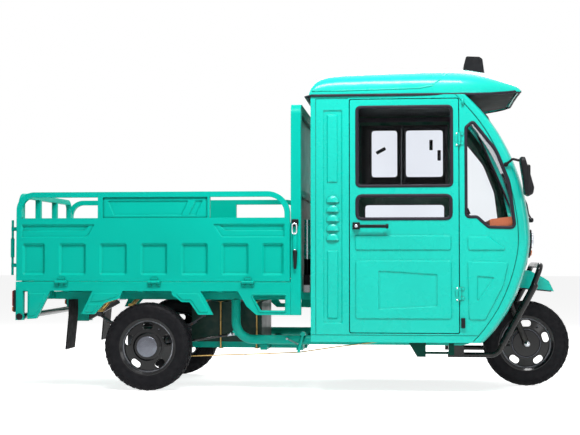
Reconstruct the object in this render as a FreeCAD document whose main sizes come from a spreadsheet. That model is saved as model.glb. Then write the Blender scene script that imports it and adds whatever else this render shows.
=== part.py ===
import FreeCAD, Part
import math
import os
import re
from types import SimpleNamespace
from FreeCAD import Placement, Rotation, Vector

# A three-wheeled electric cargo tricycle: closed cab over one steered front wheel, and a
# drop-side tipping bed over the rear axle. Millimetres, +X forward, +Y to the vehicle's left,
# +Z up, the ground at Z = 0. Lengths along X are measured from the rear axle, and every
# sub-part is then placed forward of the middle of the vehicle by rear_axle_x.

SIZES = {
    # layout
    "rear_axle_x": -813.0,
    "wheelbase": 2200.0,
    "track": 980.0,
    # wheels
    "tyre_radius": 255.0,
    "tyre_half_width": 47.0,
    "bead_radius": 155.3,
    "bead_gap": 0.3,
    "rim_flange": 11.0,
    "rim_half_width": 41.0,
    "rim_wall": 5.0,
    "disc_wall": 5.0,
    "hub_radius": 46.0,
    "rear_cap_radius": 82.0,
    "front_ring_radius": 88.0,
    "spoke_holes": 5,
    "hole_ring_radius": 119.0,
    "axle_radius": 20.0,
    "axle_fit": 0.05,
    # cargo bed
    "bed_width": 1100.0,
    "bed_rear": 775.0,
    "gate_front": 829.0,
    "post_front": 890.0,
    "rail_bottom": 575.0,
    "rail_top": 628.0,
    "rail_depth": 40.0,
    "gate_bottom": 633.0,
    "gate_top": 1148.0,
    "gate_wall": 32.0,
    "gate_bar": 31.0,
    "gate_mid_top": 997.0,
    "gate_rear_round": 105.0,
    "gate_front_round": 130.0,
    "gate_gap": 5.0,
    "panel_recess": 9.0,
    "rib_recess": 14.0,
    "floor_sheet": 6.0,
    "bed_seat": 568.3,
    "headboard_top": 1650.0,
    "headboard_wall": 57.0,
    "headboard_round": 60.0,
    "skirt_wall": 26.0,
    "skirt_bottom": 441.0,
    "post_bottom": 405.0,
    "bumper_radius": 19.0,
    "seat_gap": 0.3,
    "hinge_out": 12.0,
    "hinge_pin": 5.0,
    "hinge_knuckle": 9.0,
    "hinge_length": 34.0,
    "hinge_step": 2.0,
    "latch_out": 43.0,
    "latch_rod": 7.0,
    "latch_grip": 11.0,
    # tipping gear
    "tip_x": -620.0,
    "tip_z": 546.0,
    "tip_pin": 11.0,
    "ram_base_x": -500.0,
    "ram_base_z": 400.0,
    "ram_eye_x": -270.0,
    "ram_eye_z": 528.0,
    "ram_radius": 30.0,
    "ram_rod_radius": 16.0,
    "ram_pin": 9.0,
    "ram_ear_gap": 36.0,
    "ram_eye_play": 9.6,
    # chassis
    "beam_inset": 90.0,
    "beam_width": 40.0,
    "beam_bottom": 524.0,
    "beam_top": 568.0,
    "main_tube_radius": 26.5,
    "main_tube_x": 498.0,
    "main_tube_z": 292.0,
    "main_tube_bend": 105.0,
    "battery_length": 422.0,
    "battery_x": 209.0,
    "battery_half_width": 250.0,
    "battery_bottom": 268.0,
    "battery_top": 504.0,
    "strap_thickness": 2.2,
    "leaf_width": 50.0,
    "leaf_thickness": 7.0,
    "leaf_half_span": 305.0,
    "leaf_rise": 100.0,
    "leaf_count": 6,
    "lower_rail_height": 36.0,
    # cab
    "cab_width": 1100.0,
    "cab_rear": 947.0,
    "cab_wall": 35.0,
    "sill_bottom": 290.0,
    "sill_top": 340.0,
    "cab_roof_line": 1690.0,
    "door_rear": 1165.0,
    "door_front": 1787.0,
    "door_top": 1670.0,
    "door_gap": 5.0,
    "door_hinge_out": 9.0,
    "door_hinge_pin": 3.5,
    "door_knuckle": 7.0,
    "glass_wall": 5.0,
    "press_depth": 6.0,
    "press_bevel": 45.0,
    "scoop_count": 5,
    "scoop_low": 866.0,
    "scoop_pitch": 54.0,
    "scoop_depth": 11.0,
    "front_wall": 36.0,
    "front_bulge": 42.0,
    "front_corner": 14.0,
    "wheel_arch_top": 722.0,
    "wheel_arch_half": 300.0,
    "floor_top": 338.0,
    "roof_wall": 12.0,
    # steering
    "rake_deg": 22.0,
    "fork_offset": 35.0,
    "fork_leg_radius": 17.0,
    "fork_half_width": 78.0,
    "stem_radius": 15.0,
    "head_tube_radius": 27.0,
    "grip_radius": 17.0,
    "bar_radius": 11.0,
    # crash bar
    "bar_half_width": 280.0,
    "bar_low_radius": 15.0,
    "bar_leg_radius": 21.0,
    "bar_hoop_radius": 17.0,
}

doc = FreeCAD.newDocument("cargo_tricycle")
sheet = doc.addObject("Spreadsheet::Sheet", "Sizes")
for row, (alias, value) in enumerate(SIZES.items(), start=1):
    sheet.set(f"A{row}", alias)
    sheet.set(f"B{row}", str(value))
    sheet.setAlias(f"B{row}", alias)
doc.recompute()
size = SimpleNamespace(**{alias: float(sheet.get(alias)) for alias in SIZES})

X_AXIS = Vector(1, 0, 0)
Y_AXIS = Vector(0, 1, 0)
Z_AXIS = Vector(0, 0, 1)
RIGHT = -1
LEFT = 1
SIDES = {"right": RIGHT, "left": LEFT}
AXLE_TUBE = 34
LEAF_EYE = 14
subparts = []


def bind(obj, prop, text):
    """Tie a property to an expression written with the sheet's own names."""
    obj.setExpression(prop, re.sub(r"[A-Za-z_]\w*", r"Sizes.\g<0>", text))


def keep(obj, label):
    """Name a finished object as a sub-part of the vehicle."""
    obj.Label = label
    subparts.append(obj)
    return obj


def box(length, width, height, corner, turn=Rotation()):
    """A block from its low corner; its three sizes are expressions."""
    obj = doc.addObject("Part::Box", "Block")
    bind(obj, "Length", length)
    bind(obj, "Width", width)
    bind(obj, "Height", height)
    obj.Placement = Placement(corner, turn)
    return obj


def rod(radius, height, start, direction):
    """A round bar from its start point along a direction."""
    obj = doc.addObject("Part::Cylinder", "Bar")
    bind(obj, "Radius", radius)
    bind(obj, "Height", height)
    obj.Placement = Placement(start, Rotation(Z_AXIS, direction))
    return obj


def feature(shape, at=Vector(), turn=Rotation()):
    """A solid made straight from its curves."""
    obj = doc.addObject("Part::Feature", "Form")
    obj.Shape = shape
    obj.Placement = Placement(at, turn)
    return obj


def fuse(*parts):
    obj = doc.addObject("Part::MultiFuse", "Joined")
    obj.Shapes = list(parts)
    return obj


def cut(base, tool):
    obj = doc.addObject("Part::Cut", "Opened")
    obj.Base = base
    obj.Tool = tool
    return obj


def sawn(base, slots):
    """A welded piece opened by the seat gap at its joints, so that each bar is a solid of its own.

    A slot is the low corner of a block and its three sizes."""
    return cut(base, group(*[feature(Part.makeBox(*sizes, corner)) for corner, sizes in slots]))


def group(*parts):
    """Like pieces of one body that don't touch."""
    obj = doc.addObject("Part::Compound", "Set")
    obj.Links = list(parts)
    return obj


def outline(points):
    """Edges of a closed outline; a point's third number rounds its corner."""
    count = len(points)
    starts = []
    ends = []
    middles = []
    for index, point in enumerate(points):
        here = Vector(point[0], point[1])
        radius = point[2] if len(point) > 2 else 0
        before = Vector(*points[index - 1][:2]) - here
        after = Vector(*points[(index + 1) % count][:2]) - here
        if radius == 0:
            starts.append(here)
            ends.append(here)
            middles.append(None)
            continue
        half = before.getAngle(after) / 2
        reach = radius / math.tan(half)
        start = here + before.normalize() * reach
        end = here + after.normalize() * reach
        centre_way = (before + after).normalize()
        starts.append(start)
        ends.append(end)
        middles.append(here + centre_way * (radius / math.sin(half) - radius))
    edges = []
    for index in range(count):
        if middles[index]:
            edges.append(Part.Arc(starts[index], middles[index], ends[index]))
        following = starts[(index + 1) % count]
        if ends[index].distanceToPoint(following) > 0.001:
            edges.append(Part.LineSegment(ends[index], following))
    return edges


def rectangle(left, low, right, high, radius=0):
    return outline([(left, low, radius), (right, low, radius), (right, high, radius), (left, high, radius)])


def knots(count):
    """Clamped, evenly spaced knots and their multiplicities for a cubic with that many guide points."""
    return [4] + [1] * (count - 4) + [4], list(range(count - 2))


def guided_curve(points):
    """A smooth curve drawn towards its guide points."""
    curve = Part.BSplineCurve()
    multiplicities, values = knots(len(points))
    curve.buildFromPolesMultsKnots(points, multiplicities, values, False, 3)
    return curve


def origin_feature(body, role):
    return next(item for item in body.Origin.OriginFeatures if item.Role == role)


def sketch(body, role, offset, edges):
    """A closed outline on one of the body's own planes, moved along its normal."""
    drawn = body.newObject("Sketcher::SketchObject", "Outline")
    drawn.AttachmentSupport = (origin_feature(body, role), "")
    drawn.MapMode = "FlatFace"
    bind(drawn, "AttachmentOffset.Base.z", offset)
    for edge in edges:
        drawn.addGeometry(edge, False)
    return drawn


def pad(body, role, offset, edges, length, bevel=0, against_normal=False):
    """Growth from an outline; a bevel in degrees leans its sides inwards."""
    grown = body.newObject("PartDesign::Pad", "Pad")
    grown.Profile = sketch(body, role, offset, edges)
    grown.Reversed = against_normal
    grown.TaperAngle = -bevel
    bind(grown, "Length", length)
    return grown


def pocket(body, role, offset, edges, depth, bevel=0, along_normal=False):
    """A recess from an outline; a bevel in degrees leans its sides inwards."""
    sunk = body.newObject("PartDesign::Pocket", "Pocket")
    sunk.Profile = sketch(body, role, offset, edges)
    sunk.Reversed = along_normal
    sunk.TaperAngle = -bevel
    bind(sunk, "Length", depth)
    return sunk


def new_body():
    return doc.addObject("PartDesign::Body", "Body")


def wall_body(side, half_width, wall, edges):
    """A side wall: a pad from its inner face out to half_width on the given side."""
    body = new_body()
    inner = f"{half_width} - {wall}" if side == RIGHT else f"-({half_width})"
    pad(body, "XZ_Plane", inner, edges, wall)
    return body


def sink(body, side, half_width, edges, depth, bevel=0):
    """A recess from a side wall's outer face."""
    face = half_width if side == RIGHT else f"-({half_width})"
    return pocket(body, "XZ_Plane", face, edges, depth, bevel, along_normal=side == LEFT)


def swell(body, side, half_width, edges, height):
    """A pressed-out field on a side wall's outer face."""
    face = half_width if side == RIGHT else f"-({half_width})"
    return pad(body, "XZ_Plane", face, edges, height, size.press_bevel, against_normal=side == LEFT)


def tube(points, bend, radius, wall=0.0):
    """A bent tube: straight runs joined by tangent arcs, hollow when it has a wall."""
    corners = [Vector(*point) for point in points]
    edges = []
    start = corners[0]
    for before, here, after in zip(corners, corners[1:], corners[2:]):
        back = (before - here).normalize()
        ahead = (after - here).normalize()
        half = back.getAngle(ahead) / 2
        reach = bend / math.tan(half)
        first = here + back * reach
        last = here + ahead * reach
        middle = here + (back + ahead).normalize() * (bend / math.sin(half) - bend)
        edges.append(Part.LineSegment(start, first).toShape())
        edges.append(Part.Arc(first, middle, last).toShape())
        start = last
    edges.append(Part.LineSegment(start, corners[-1]).toShape())
    path = Part.Wire(edges)
    way = corners[1] - corners[0]

    def swept(ring_radius):
        ring = Part.Wire([Part.Circle(corners[0], way, ring_radius).toShape()])
        return path.makePipeShell([ring], True, True)

    solid = swept(radius)
    if wall:
        solid = solid.cut(swept(radius - wall))
    return solid


def capsule(start, end, radius):
    """A round bar between two points."""
    way = end - start
    return Part.makeCylinder(radius, way.Length, start, way)


def hinge_set(places, axis, outward, up, out, pin, knuckle, length):
    """Fixed and moving halves of a row of hinges whose leaves lie on a wall's outer face."""
    fixed_parts = []
    moving_parts = []

    def leaf(centre, span, way):
        """A flat plate from beside the pin to its reach along the wall."""
        along = axis * (span / 2)
        near = outward * -1.0 * out
        thick = outward * (out * 0.5)
        step = way * size.hinge_step
        reach = way * (knuckle + 16)
        corners = [centre - along + near + step, centre + along + near + step,
                   centre + along + near + reach, centre - along + near + reach]
        return Part.Face(Part.makePolygon([*corners, corners[0]])).extrude(thick)

    def web(centre, span, way):
        """The bridge from the wall's face out to the knuckle."""
        along = axis * (span / 2)
        step = way * size.hinge_step
        reach = way * (knuckle * 0.8)
        near = outward * -1.0 * out
        corners = [centre - along + near + step, centre + along + near + step,
                   centre + along + near + reach, centre - along + near + reach]
        return Part.Face(Part.makePolygon([*corners, corners[0]])).extrude(outward * out)

    for centre in places:
        ear = length / 2
        fixed_parts.append(Part.makeCylinder(pin, 2 * length, centre - axis * length, axis))
        for sign in (-1, 1):
            middle = centre + axis * (sign * (length / 2 + ear / 2 + 0.5))
            span = ear - 1
            fixed_parts.append(Part.makeCylinder(knuckle, span, middle - axis * (span / 2), axis))
            fixed_parts.append(leaf(middle, span, up * -1.0))
            fixed_parts.append(web(middle, span, up * -1.0))
        moving = Part.makeCylinder(knuckle, length, centre - axis * (length / 2), axis)
        moving = moving.multiFuse([leaf(centre, length, up), web(centre, length, up)])
        bore = Part.makeCylinder(pin + size.axle_fit, length + 4, centre - axis * (length / 2 + 2), axis)
        moving_parts.append(moving.cut(bore))
    return fixed_parts, moving_parts


# The wheels, built about their own centre with the axle along Y and the outer side at -Y.

def tyre():
    body = new_body()
    shoulder = size.tyre_radius - 12
    bulge = (size.bead_radius + size.tyre_radius) / 2
    foot = size.rim_half_width - size.rim_wall - 0.5
    wall_top = size.bead_radius + size.rim_flange + 3
    edges = [
        Part.LineSegment(Vector(size.bead_radius, foot), Vector(wall_top, foot)),
        Part.Arc(Vector(wall_top, foot), Vector(bulge, size.tyre_half_width), Vector(shoulder, 41)),
        Part.Arc(Vector(shoulder, 41), Vector(size.tyre_radius, 0), Vector(shoulder, -41)),
        Part.Arc(Vector(shoulder, -41), Vector(bulge, -size.tyre_half_width), Vector(wall_top, -foot)),
        Part.LineSegment(Vector(wall_top, -foot), Vector(size.bead_radius, -foot)),
        Part.LineSegment(Vector(size.bead_radius, -foot), Vector(size.bead_radius, foot)),
    ]
    ring = body.newObject("PartDesign::Revolution", "Carcass")
    ring.Profile = sketch(body, "XY_Plane", "0", edges)
    ring.ReferenceAxis = (origin_feature(body, "Y_Axis"), "")
    ring.Angle = 360
    return body


def rim(cap_radius, cap_depth, capped):
    """Rim channel, dished disc with oval holes, hub and its round cap, turned as one section."""
    body = new_body()
    seat = size.bead_radius - size.bead_gap
    low = seat - size.rim_wall
    lip = seat + size.rim_flange
    flat = size.rim_half_width - size.rim_wall
    half = size.rim_half_width
    bore = size.axle_radius + size.axle_fit
    hub_face = -30.0
    wall = size.disc_wall
    cap_face = hub_face - cap_depth
    cap_inside = [(bore, cap_face)]
    if capped:
        cap_inside = [(bore, cap_face + wall), (0, cap_face + wall), (0, cap_face)]
    section = [
        (lip, flat), (lip, half), (lip - 4, half), (low, flat - 2), (low, -6),
        (size.hole_ring_radius - 22, hub_face + wall), (size.hub_radius, hub_face + wall),
        (size.hub_radius, 34), (bore, 34), *cap_inside,
        (cap_radius - 10, cap_face), (cap_radius, cap_face + 10),
        (cap_radius, hub_face), (size.hole_ring_radius - 22, hub_face),
        (low, -6 - wall * 1.6), (low, -flat + 2), (lip - 4, -half), (lip, -half), (lip, -flat),
        (seat, -flat), (seat, flat),
    ]
    turned = body.newObject("PartDesign::Revolution", "Turned")
    turned.Profile = sketch(body, "XY_Plane", "0", outline(section))
    turned.ReferenceAxis = (origin_feature(body, "Y_Axis"), "")
    turned.Angle = 360
    doc.recompute()
    ring = size.hole_ring_radius
    hole = pocket(body, "XZ_Plane", "60", rectangle(-30, ring - 19, 30, ring + 19, 18.5), "80")
    pattern = body.newObject("PartDesign::PolarPattern", "Holes")
    pattern.Originals = [hole]
    pattern.Axis = (origin_feature(body, "Y_Axis"), "")
    pattern.Angle = 360
    bind(pattern, "Occurrences", "spoke_holes")
    body.Tip = pattern
    return body


def wheels():
    half_track = size.track / 2
    places = {
        "front": (Vector(size.wheelbase, 0, size.tyre_radius), 0, size.front_ring_radius, 8),
        "rear_right": (Vector(0, -half_track, size.tyre_radius), 0, size.rear_cap_radius, 20),
        "rear_left": (Vector(0, half_track, size.tyre_radius), 180, size.rear_cap_radius, 20),
    }
    for name, (centre, turn, cap_radius, cap_depth) in places.items():
        place = Placement(centre, Rotation(Z_AXIS, turn))
        capped = name != "front"
        for kind, made in (("tyre", tyre()), ("rim", rim(cap_radius, cap_depth, capped))):
            made.Placement = place
            keep(made, f"{name}_{kind}")


# The rear axle and its springs.

def rear_axle():
    centre = size.tyre_radius
    half = size.track / 2
    shaft = capsule(Vector(0, -half - 20, centre), Vector(0, half + 20, centre), size.axle_radius)
    housing = capsule(Vector(0, -half + 70, centre), Vector(0, half - 70, centre), AXLE_TUBE)
    gear_case = Part.makeSphere(105, Vector(0, 60, centre))
    motor = capsule(Vector(0, 60, centre), Vector(-235, 60, centre), 82)
    parts = [shaft, housing, gear_case, motor]
    for side in SIDES.values():
        face = side * (half - 45)
        parts.append(capsule(Vector(0, face, centre), Vector(0, face - side * 18, centre), 92))
    solid = parts[0].multiFuse(parts[1:]).removeSplitter()
    return keep(feature(solid), "rear_axle")


def leaf_springs():
    """Two packs of concentric leaves over the axle, with an eye at each end of the longest leaf."""
    half = size.leaf_half_span
    bend = (half * half + size.leaf_rise ** 2) / (2 * size.leaf_rise)
    open_angle = math.asin(half / bend)
    thick = size.leaf_thickness
    count = int(size.leaf_count)
    top = size.tyre_radius + AXLE_TUBE + size.seat_gap + count * thick
    packs = []
    hangers = []
    for side in SIDES.values():
        pieces = []
        for index in range(count):
            angle = open_angle * (1 - 0.15 * index)
            inner = bend + index * thick
            points = {}
            for name, radius in (("inner", inner), ("outer", inner + thick)):
                points[name] = [Vector(math.sin(turn) * radius, 0, top + bend - math.cos(turn) * radius)
                                for turn in (-angle, 0, angle)]
            near = points["inner"]
            far = points["outer"]
            edges = [Part.Arc(*near).toShape(), Part.makeLine(near[2], far[2]),
                     Part.Arc(*reversed(far)).toShape(), Part.makeLine(far[0], near[0])]
            pieces.append(Part.Face(Part.Wire(edges)).extrude(Vector(0, size.leaf_width, 0)))
        for end_way in (-1, 1):
            eye = Vector(end_way * (half + 4), 0, top + size.leaf_rise + 4)
            pieces.append(Part.makeCylinder(LEAF_EYE, size.leaf_width, eye, Y_AXIS))
        pack = pieces[0].multiFuse(pieces[1:])
        y = side * beam_line()
        packs.append(feature(pack, Vector(0, y - size.leaf_width / 2, 0)))
        foot_z = top + size.leaf_rise + 4 + LEAF_EYE + size.seat_gap
        for x, lean in ((-half - 4, 62), (half + 4, 0)):
            foot = Vector(x, y, foot_z)
            head = Vector(x + lean, y, size.beam_bottom - size.seat_gap)
            shank = capsule(foot + (head - foot) * 0.12, head - (head - foot) * 0.12, 13)
            base = Part.makeBox(34, 40, 16, foot - Vector(17, 20, 0))
            cap = Part.makeBox(44, 40, 14, head - Vector(22, 20, 14))
            hangers.append(feature(shank.multiFuse([base, cap])))
    keep(group(*packs), "leaf_springs")
    for x in (386, 602):
        hangers.extend(battery_strap(x))
    keep(group(*hangers), "hangers")


def battery_strap(x):
    """A hold-down: a flat bar over the battery, and on each side a rod and a foot under the rail."""
    reach = size.battery_half_width + 12
    thick = size.strap_thickness
    gap = size.seat_gap
    high = size.battery_top + gap
    low = size.battery_bottom - 2 * gap - size.lower_rail_height - thick
    foot = low + thick + gap
    parts = [Part.makeBox(24, 2 * reach + 20, thick, Vector(x - 12, -reach - 10, high))]
    for side in SIDES.values():
        near = min(side * (reach - 66), side * (reach + 10))
        parts.append(Part.makeBox(24, 76, thick, Vector(x - 12, near, low)))
        parts.append(Part.makeCylinder(5, high - gap - foot, Vector(x, side * reach, foot)))
    return [feature(part) for part in parts]


def beam_line():
    """The middle of the beams and main tubes, inboard of the rear wheels."""
    return size.track / 2 - size.beam_inset


def main_run(side, grow):
    """One main tube: down from the beam, forward under the cab, then up and in to the steering head."""
    y = side * beam_line()
    front = size.wheelbase - 310
    return tube([(size.main_tube_x, y, size.beam_bottom - size.seat_gap),
                 (size.main_tube_x, y, size.main_tube_z), (front, y, size.main_tube_z),
                 (front, side * 60, 600), (front + 75, side * 12, 735)],
                size.main_tube_bend, size.main_tube_radius + grow)


def chassis_members():
    """Beams under the bed with their tipping lugs, the members between them, and the battery's rails."""
    parts = []
    rails = []
    half = size.beam_width / 2
    beam_depth = "beam_top - beam_bottom"
    rail_low = size.battery_bottom - size.seat_gap - size.lower_rail_height
    for side in SIDES.values():
        y = side * beam_line()
        beam = box("post_front + 5 - tip_x", "beam_width", beam_depth,
                   Vector(size.tip_x + 45, y - half, size.beam_bottom))
        lug = box("70", "12", beam_depth, Vector(size.tip_x - 22, y - 6, size.beam_bottom))
        parts.append(fuse(beam, cut(lug, rod("tip_pin + axle_fit", "40",
                                             Vector(size.tip_x, y - 20, size.tip_z), Y_AXIS))))
        rails.append(box("710", "beam_width", "lower_rail_height",
                         Vector(190, side * 215 - half, rail_low)))
    for x in (-200, 470, 895):
        parts.append(cross_member(x))
    for x in (640, 850):
        rails.append(box("40", "track - 2 * beam_inset",
                         "main_tube_z - main_tube_radius - battery_bottom + lower_rail_height",
                         Vector(x, -beam_line(), rail_low)))
    return [*parts, fuse(*rails)]


def cross_member(x):
    """A box member from beam to beam."""
    reach = beam_line() - size.beam_width / 2 - size.seat_gap
    return box("40", "track - 2 * beam_inset - beam_width - 2 * seat_gap", "beam_top - beam_bottom",
               Vector(x, -reach, size.beam_bottom))


def ram_mount():
    """The rear cross member, with two ears and the pin that carries the ram."""
    base = Vector(size.ram_base_x, 0, size.ram_base_z)
    ears = []
    for offset in (-size.ram_ear_gap - 10, size.ram_ear_gap):
        ears.append(box("85", "10", "beam_top - ram_base_z + 25", Vector(base.x - 60, offset, base.z - 25)))
    pin = rod("ram_pin", "2 * (ram_ear_gap + 10)", Vector(base.x, -size.ram_ear_gap - 10, base.z), Y_AXIS)
    return fuse(cross_member(base.x - 60), *ears, pin)


def brake_lever():
    """The brake's lever, on a boss that is seated on the right main tube."""
    pivot = Vector(893, -beam_line() - 42, size.main_tube_z + size.main_tube_radius + 9)
    lever = capsule(pivot, pivot + Vector(-26, 0, -106), 8)
    boss = capsule(pivot - Y_AXIS * 8, pivot + Y_AXIS * 42, 14)
    return cut(feature(lever.fuse(boss)), feature(main_run(RIGHT, size.seat_gap)))


def steering_axis():
    """A point on the steering axis at hub height, and the axis itself."""
    rake = math.radians(size.rake_deg)
    foot = Vector(size.wheelbase - size.fork_offset, 0, size.tyre_radius)
    return foot, Vector(-math.sin(rake), 0, math.cos(rake))


def frame():
    foot, way = steering_axis()
    head = Part.makeCylinder(size.head_tube_radius, 190, foot + way * 375, way)
    tubes = [feature(main_run(side, 0)) for side in SIDES.values()]
    opened = cut(fuse(*tubes, feature(head)),
                 feature(Part.makeCylinder(size.stem_radius + size.axle_fit, 400, foot + way * 340, way)))
    gap = size.seat_gap
    rear = Vector(size.main_tube_x + size.main_tube_bend + 5, -size.track / 2, 200)
    front = Vector(size.wheelbase - 354, rear.y, rear.z)
    rise = Vector(front.x - 100, rear.y, 568)
    pieces = sawn(opened, [(rear, (gap, size.track, 400)), (front, (gap, size.track, 360)),
                           (rise, (300, size.track, gap))])
    return keep(group(pieces, brake_lever(), ram_mount(), *chassis_members()), "chassis_frame")


def battery_box():
    return keep(box("battery_length", "2 * battery_half_width", "battery_top - battery_bottom",
                    Vector(size.battery_x, -size.battery_half_width, size.battery_bottom)),
                "battery_box")


# The cab.

NOSE = [(1900, 290), (1934, 319), (2007, 414), (2068, 514), (2127, 660), (2160, 800), (2165, 900),
        (2150, 1050), (2108, 1230), (2030, 1415), (1935, 1570), (1812, 1690)]


def cab_side(name, side):
    half = "cab_width / 2"
    behind = size.front_corner + size.front_wall + size.seat_gap
    edge = guided_curve([Vector(x - behind, z) for x, z in NOSE])
    lines = [
        Part.LineSegment(Vector(size.cab_rear, size.cab_roof_line),
                         Vector(size.cab_rear, size.sill_bottom)),
        Part.LineSegment(Vector(size.cab_rear, size.sill_bottom), edge.StartPoint),
        edge,
        Part.LineSegment(edge.EndPoint, Vector(size.cab_rear, size.cab_roof_line)),
    ]
    body = wall_body(side, half, "cab_wall", lines)
    through = "cab_wall * 2"
    doorway = rectangle(size.door_rear, size.sill_top, size.door_front, size.door_top, 12)
    sink(body, side, half, doorway, through)
    sink(body, side, half, quarter_window(0), through)
    sink(body, side, half, rectangle(1017, 395, 1128, 1608, 10), "press_depth", size.press_bevel)
    floor_half = f"{half} - press_depth"
    swell(body, side, floor_half, rectangle(1039, 1194, 1101, 1582, 8), "press_depth")
    swell(body, side, floor_half, rectangle(1041, 423, 1104, 808, 8), "press_depth")
    swell(body, side, half, outline([(1832, 808, 14), (1829, 889, 14), (1948, 889, 30), (2060, 808, 10)]),
          "press_depth")
    swell(body, side, half, outline([(1835, 418, 14), (1828, 749, 14), (2060, 743, 14), (2030, 610, 200),
                                     (1929, 418, 14)]), "press_depth")
    sink(body, side, f"{half} + press_depth", outline([(1881, 668, 8), (1984, 659, 8), (1880, 508, 8)]),
         "press_depth * 0.9", size.press_bevel)
    fixed, _ = door_hinges(side)
    parts = [*fixed, *scoops(side)]
    keep(fuse(body, feature(parts[0].multiFuse(parts[1:]))), f"cab_side_{name}")


def scoops(side):
    """Louvres of the rear quarter: half domes that open downwards."""
    face = side * (size.cab_width / 2 - size.press_depth)
    made = []
    for index in range(int(size.scoop_count)):
        dome = Part.makeSphere(1)
        stretch = FreeCAD.Matrix()
        stretch.scale(37, size.scoop_depth + size.press_depth / 2, 40)
        dome = dome.transformGeometry(stretch)
        root = -2 if side == LEFT else -38
        dome = dome.common(Part.makeBox(100, 40, 60, Vector(-50, root, 0)))
        dome.translate(Vector(1072, face, size.scoop_low + index * size.scoop_pitch))
        made.append(dome)
    return made


def quarter_window(grow):
    """The front quarter light: an upright rear edge and a front edge along the pillar."""
    return outline([
        (1826 - grow, 1000 - grow, 20), (1885, 1000 - grow, 30), (1950, 942 - grow, 30),
        (2092 + grow, 938 - grow, 25), (2060 + grow, 1190, 160), (1990 + grow, 1370, 200),
        (1862, 1532 + grow, 14), (1826 - grow, 1500, 14)])


def cab_windows():
    panes = []
    for side in SIDES.values():
        body = new_body()
        mid = "cab_width / 2 - cab_wall / 2"
        inner = mid if side == RIGHT else f"-({mid}) - glass_wall"
        pad(body, "XZ_Plane", inner, quarter_window(-size.seat_gap), "glass_wall")
        panes.append(body)
    inset = size.seat_gap
    pane = new_body()
    pad(pane, "YZ_Plane", "cab_rear + 12",
        rectangle(-380 + inset, 1120 + inset, 380 - inset, 1560 - inset, 40), "glass_wall")
    keep(group(*panes, pane), "cab_windows")


def door(name, side):
    half = "cab_width / 2"
    gap = size.door_gap
    body = wall_body(side, half, "cab_wall",
                     rectangle(size.door_rear + gap, size.sill_top + gap, size.door_front - gap,
                               size.door_top - gap, 10))
    through = "cab_wall * 2"
    sink(body, side, half, upper_pane(0), through)
    sink(body, side, half, lower_pane(0), through)
    swell(body, side, half, rectangle(1198, 809, 1741, 895, 14), "press_depth")
    swell(body, side, half, rectangle(1200, 422, 1742, 753, 14), "press_depth")
    inset = outline([(1330, 696, 6), (1663, 676, 10), (1663, 491, 10), (1330, 474, 6)])
    sink(body, side, f"{half} + press_depth", inset, "press_depth * 0.9", size.press_bevel)
    _, moving = door_hinges(side)
    keep(fuse(body, *[feature(knuckle) for knuckle in moving]), f"door_{name}")
    panes = []
    for shape in (upper_pane, lower_pane):
        pane = new_body()
        mid = "cab_width / 2 - cab_wall / 2"
        inner = mid if side == RIGHT else f"-({mid}) - glass_wall"
        pad(pane, "XZ_Plane", inner, shape(size.seat_gap), "glass_wall")
        panes.append(pane)
    keep(group(*panes), f"door_glass_{name}")


def upper_pane(inset):
    return rectangle(1212 + inset, 1176 + inset, 1742 - inset, 1620 - inset, 22)


def lower_pane(inset):
    return rectangle(1212 + inset, 990 + inset, 1738 - inset, 1117 - inset, 30)


def guided_surface(net):
    """A smooth surface drawn towards its rows of guide points."""
    surface = Part.BSplineSurface()
    row_times, row_knots = knots(len(net))
    column_times, column_knots = knots(len(net[0]))
    surface.buildFromPolesMultsKnots(
        net, row_times, column_times, row_knots, column_knots, False, False, 3, 3)
    return surface


def curved_panel(outer, inner):
    """A smooth shell between two nets of guide points, closed along its four edges."""
    skins = [guided_surface(outer), guided_surface(inner)]
    faces = [surface.toShape() for surface in skins]
    rims = []
    for surface in skins:
        first_u, last_u, first_v, last_v = surface.bounds()
        rims.append([surface.uIso(first_u), surface.uIso(last_u),
                     surface.vIso(first_v), surface.vIso(last_v)])
    for near, far in zip(*rims):
        faces.append(Part.makeRuledSurface(near.toShape(), far.toShape()))
    shell = Part.Shell(faces)
    shell.sewShape()
    solid = Part.Solid(shell)
    if solid.Volume < 0:
        solid.reverse()
    return solid


def nose_net(setback):
    """Guide points of the nose, row by row from the sill to the roof."""
    half = size.cab_width / 2
    bulge = size.front_bulge
    corner = -size.front_corner
    columns = [(-half, corner), (-half, 4), (-half * 0.93, bulge * 0.55), (-half * 0.45, bulge),
               (half * 0.45, bulge), (half * 0.93, bulge * 0.55), (half, 4), (half, corner)]
    return [[Vector(x + forward - setback, y, z) for y, forward in columns] for x, z in NOSE]


def screen_cutter(inset):
    """The windscreen's outline, run through the nose along X."""
    half = size.cab_width / 2 - 80 - inset
    edges = rectangle(-half, 1010 + inset, half, 1625 - inset, 60)
    wire = Part.Wire([edge.toShape() for edge in edges])
    wire.rotate(Vector(), Vector(1, 1, 1), 120)
    return Part.Face(wire).extrude(Vector(900, 0, 0)).translated(Vector(1700, 0, 0))


def cab_front():
    shell = curved_panel(nose_net(0), nose_net(size.front_wall)).cut(screen_cutter(0))
    half = size.wheel_arch_half
    edges = outline([(-half, 200), (half, 200), (half, size.wheel_arch_top, 80),
                     (-half, size.wheel_arch_top, 80)])
    wire = Part.Wire([edge.toShape() for edge in edges])
    wire.rotate(Vector(), Vector(1, 1, 1), 120)
    arch = Part.Face(wire).extrude(Vector(900, 0, 0)).translated(Vector(1700, 0, 0))
    shell = shell.cut(arch)
    keep(feature(shell), "cab_front")
    setback = 14
    pane = curved_panel(nose_net(setback), nose_net(setback + size.glass_wall))
    keep(feature(pane.common(screen_cutter(size.seat_gap))), "windscreen")


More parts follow.
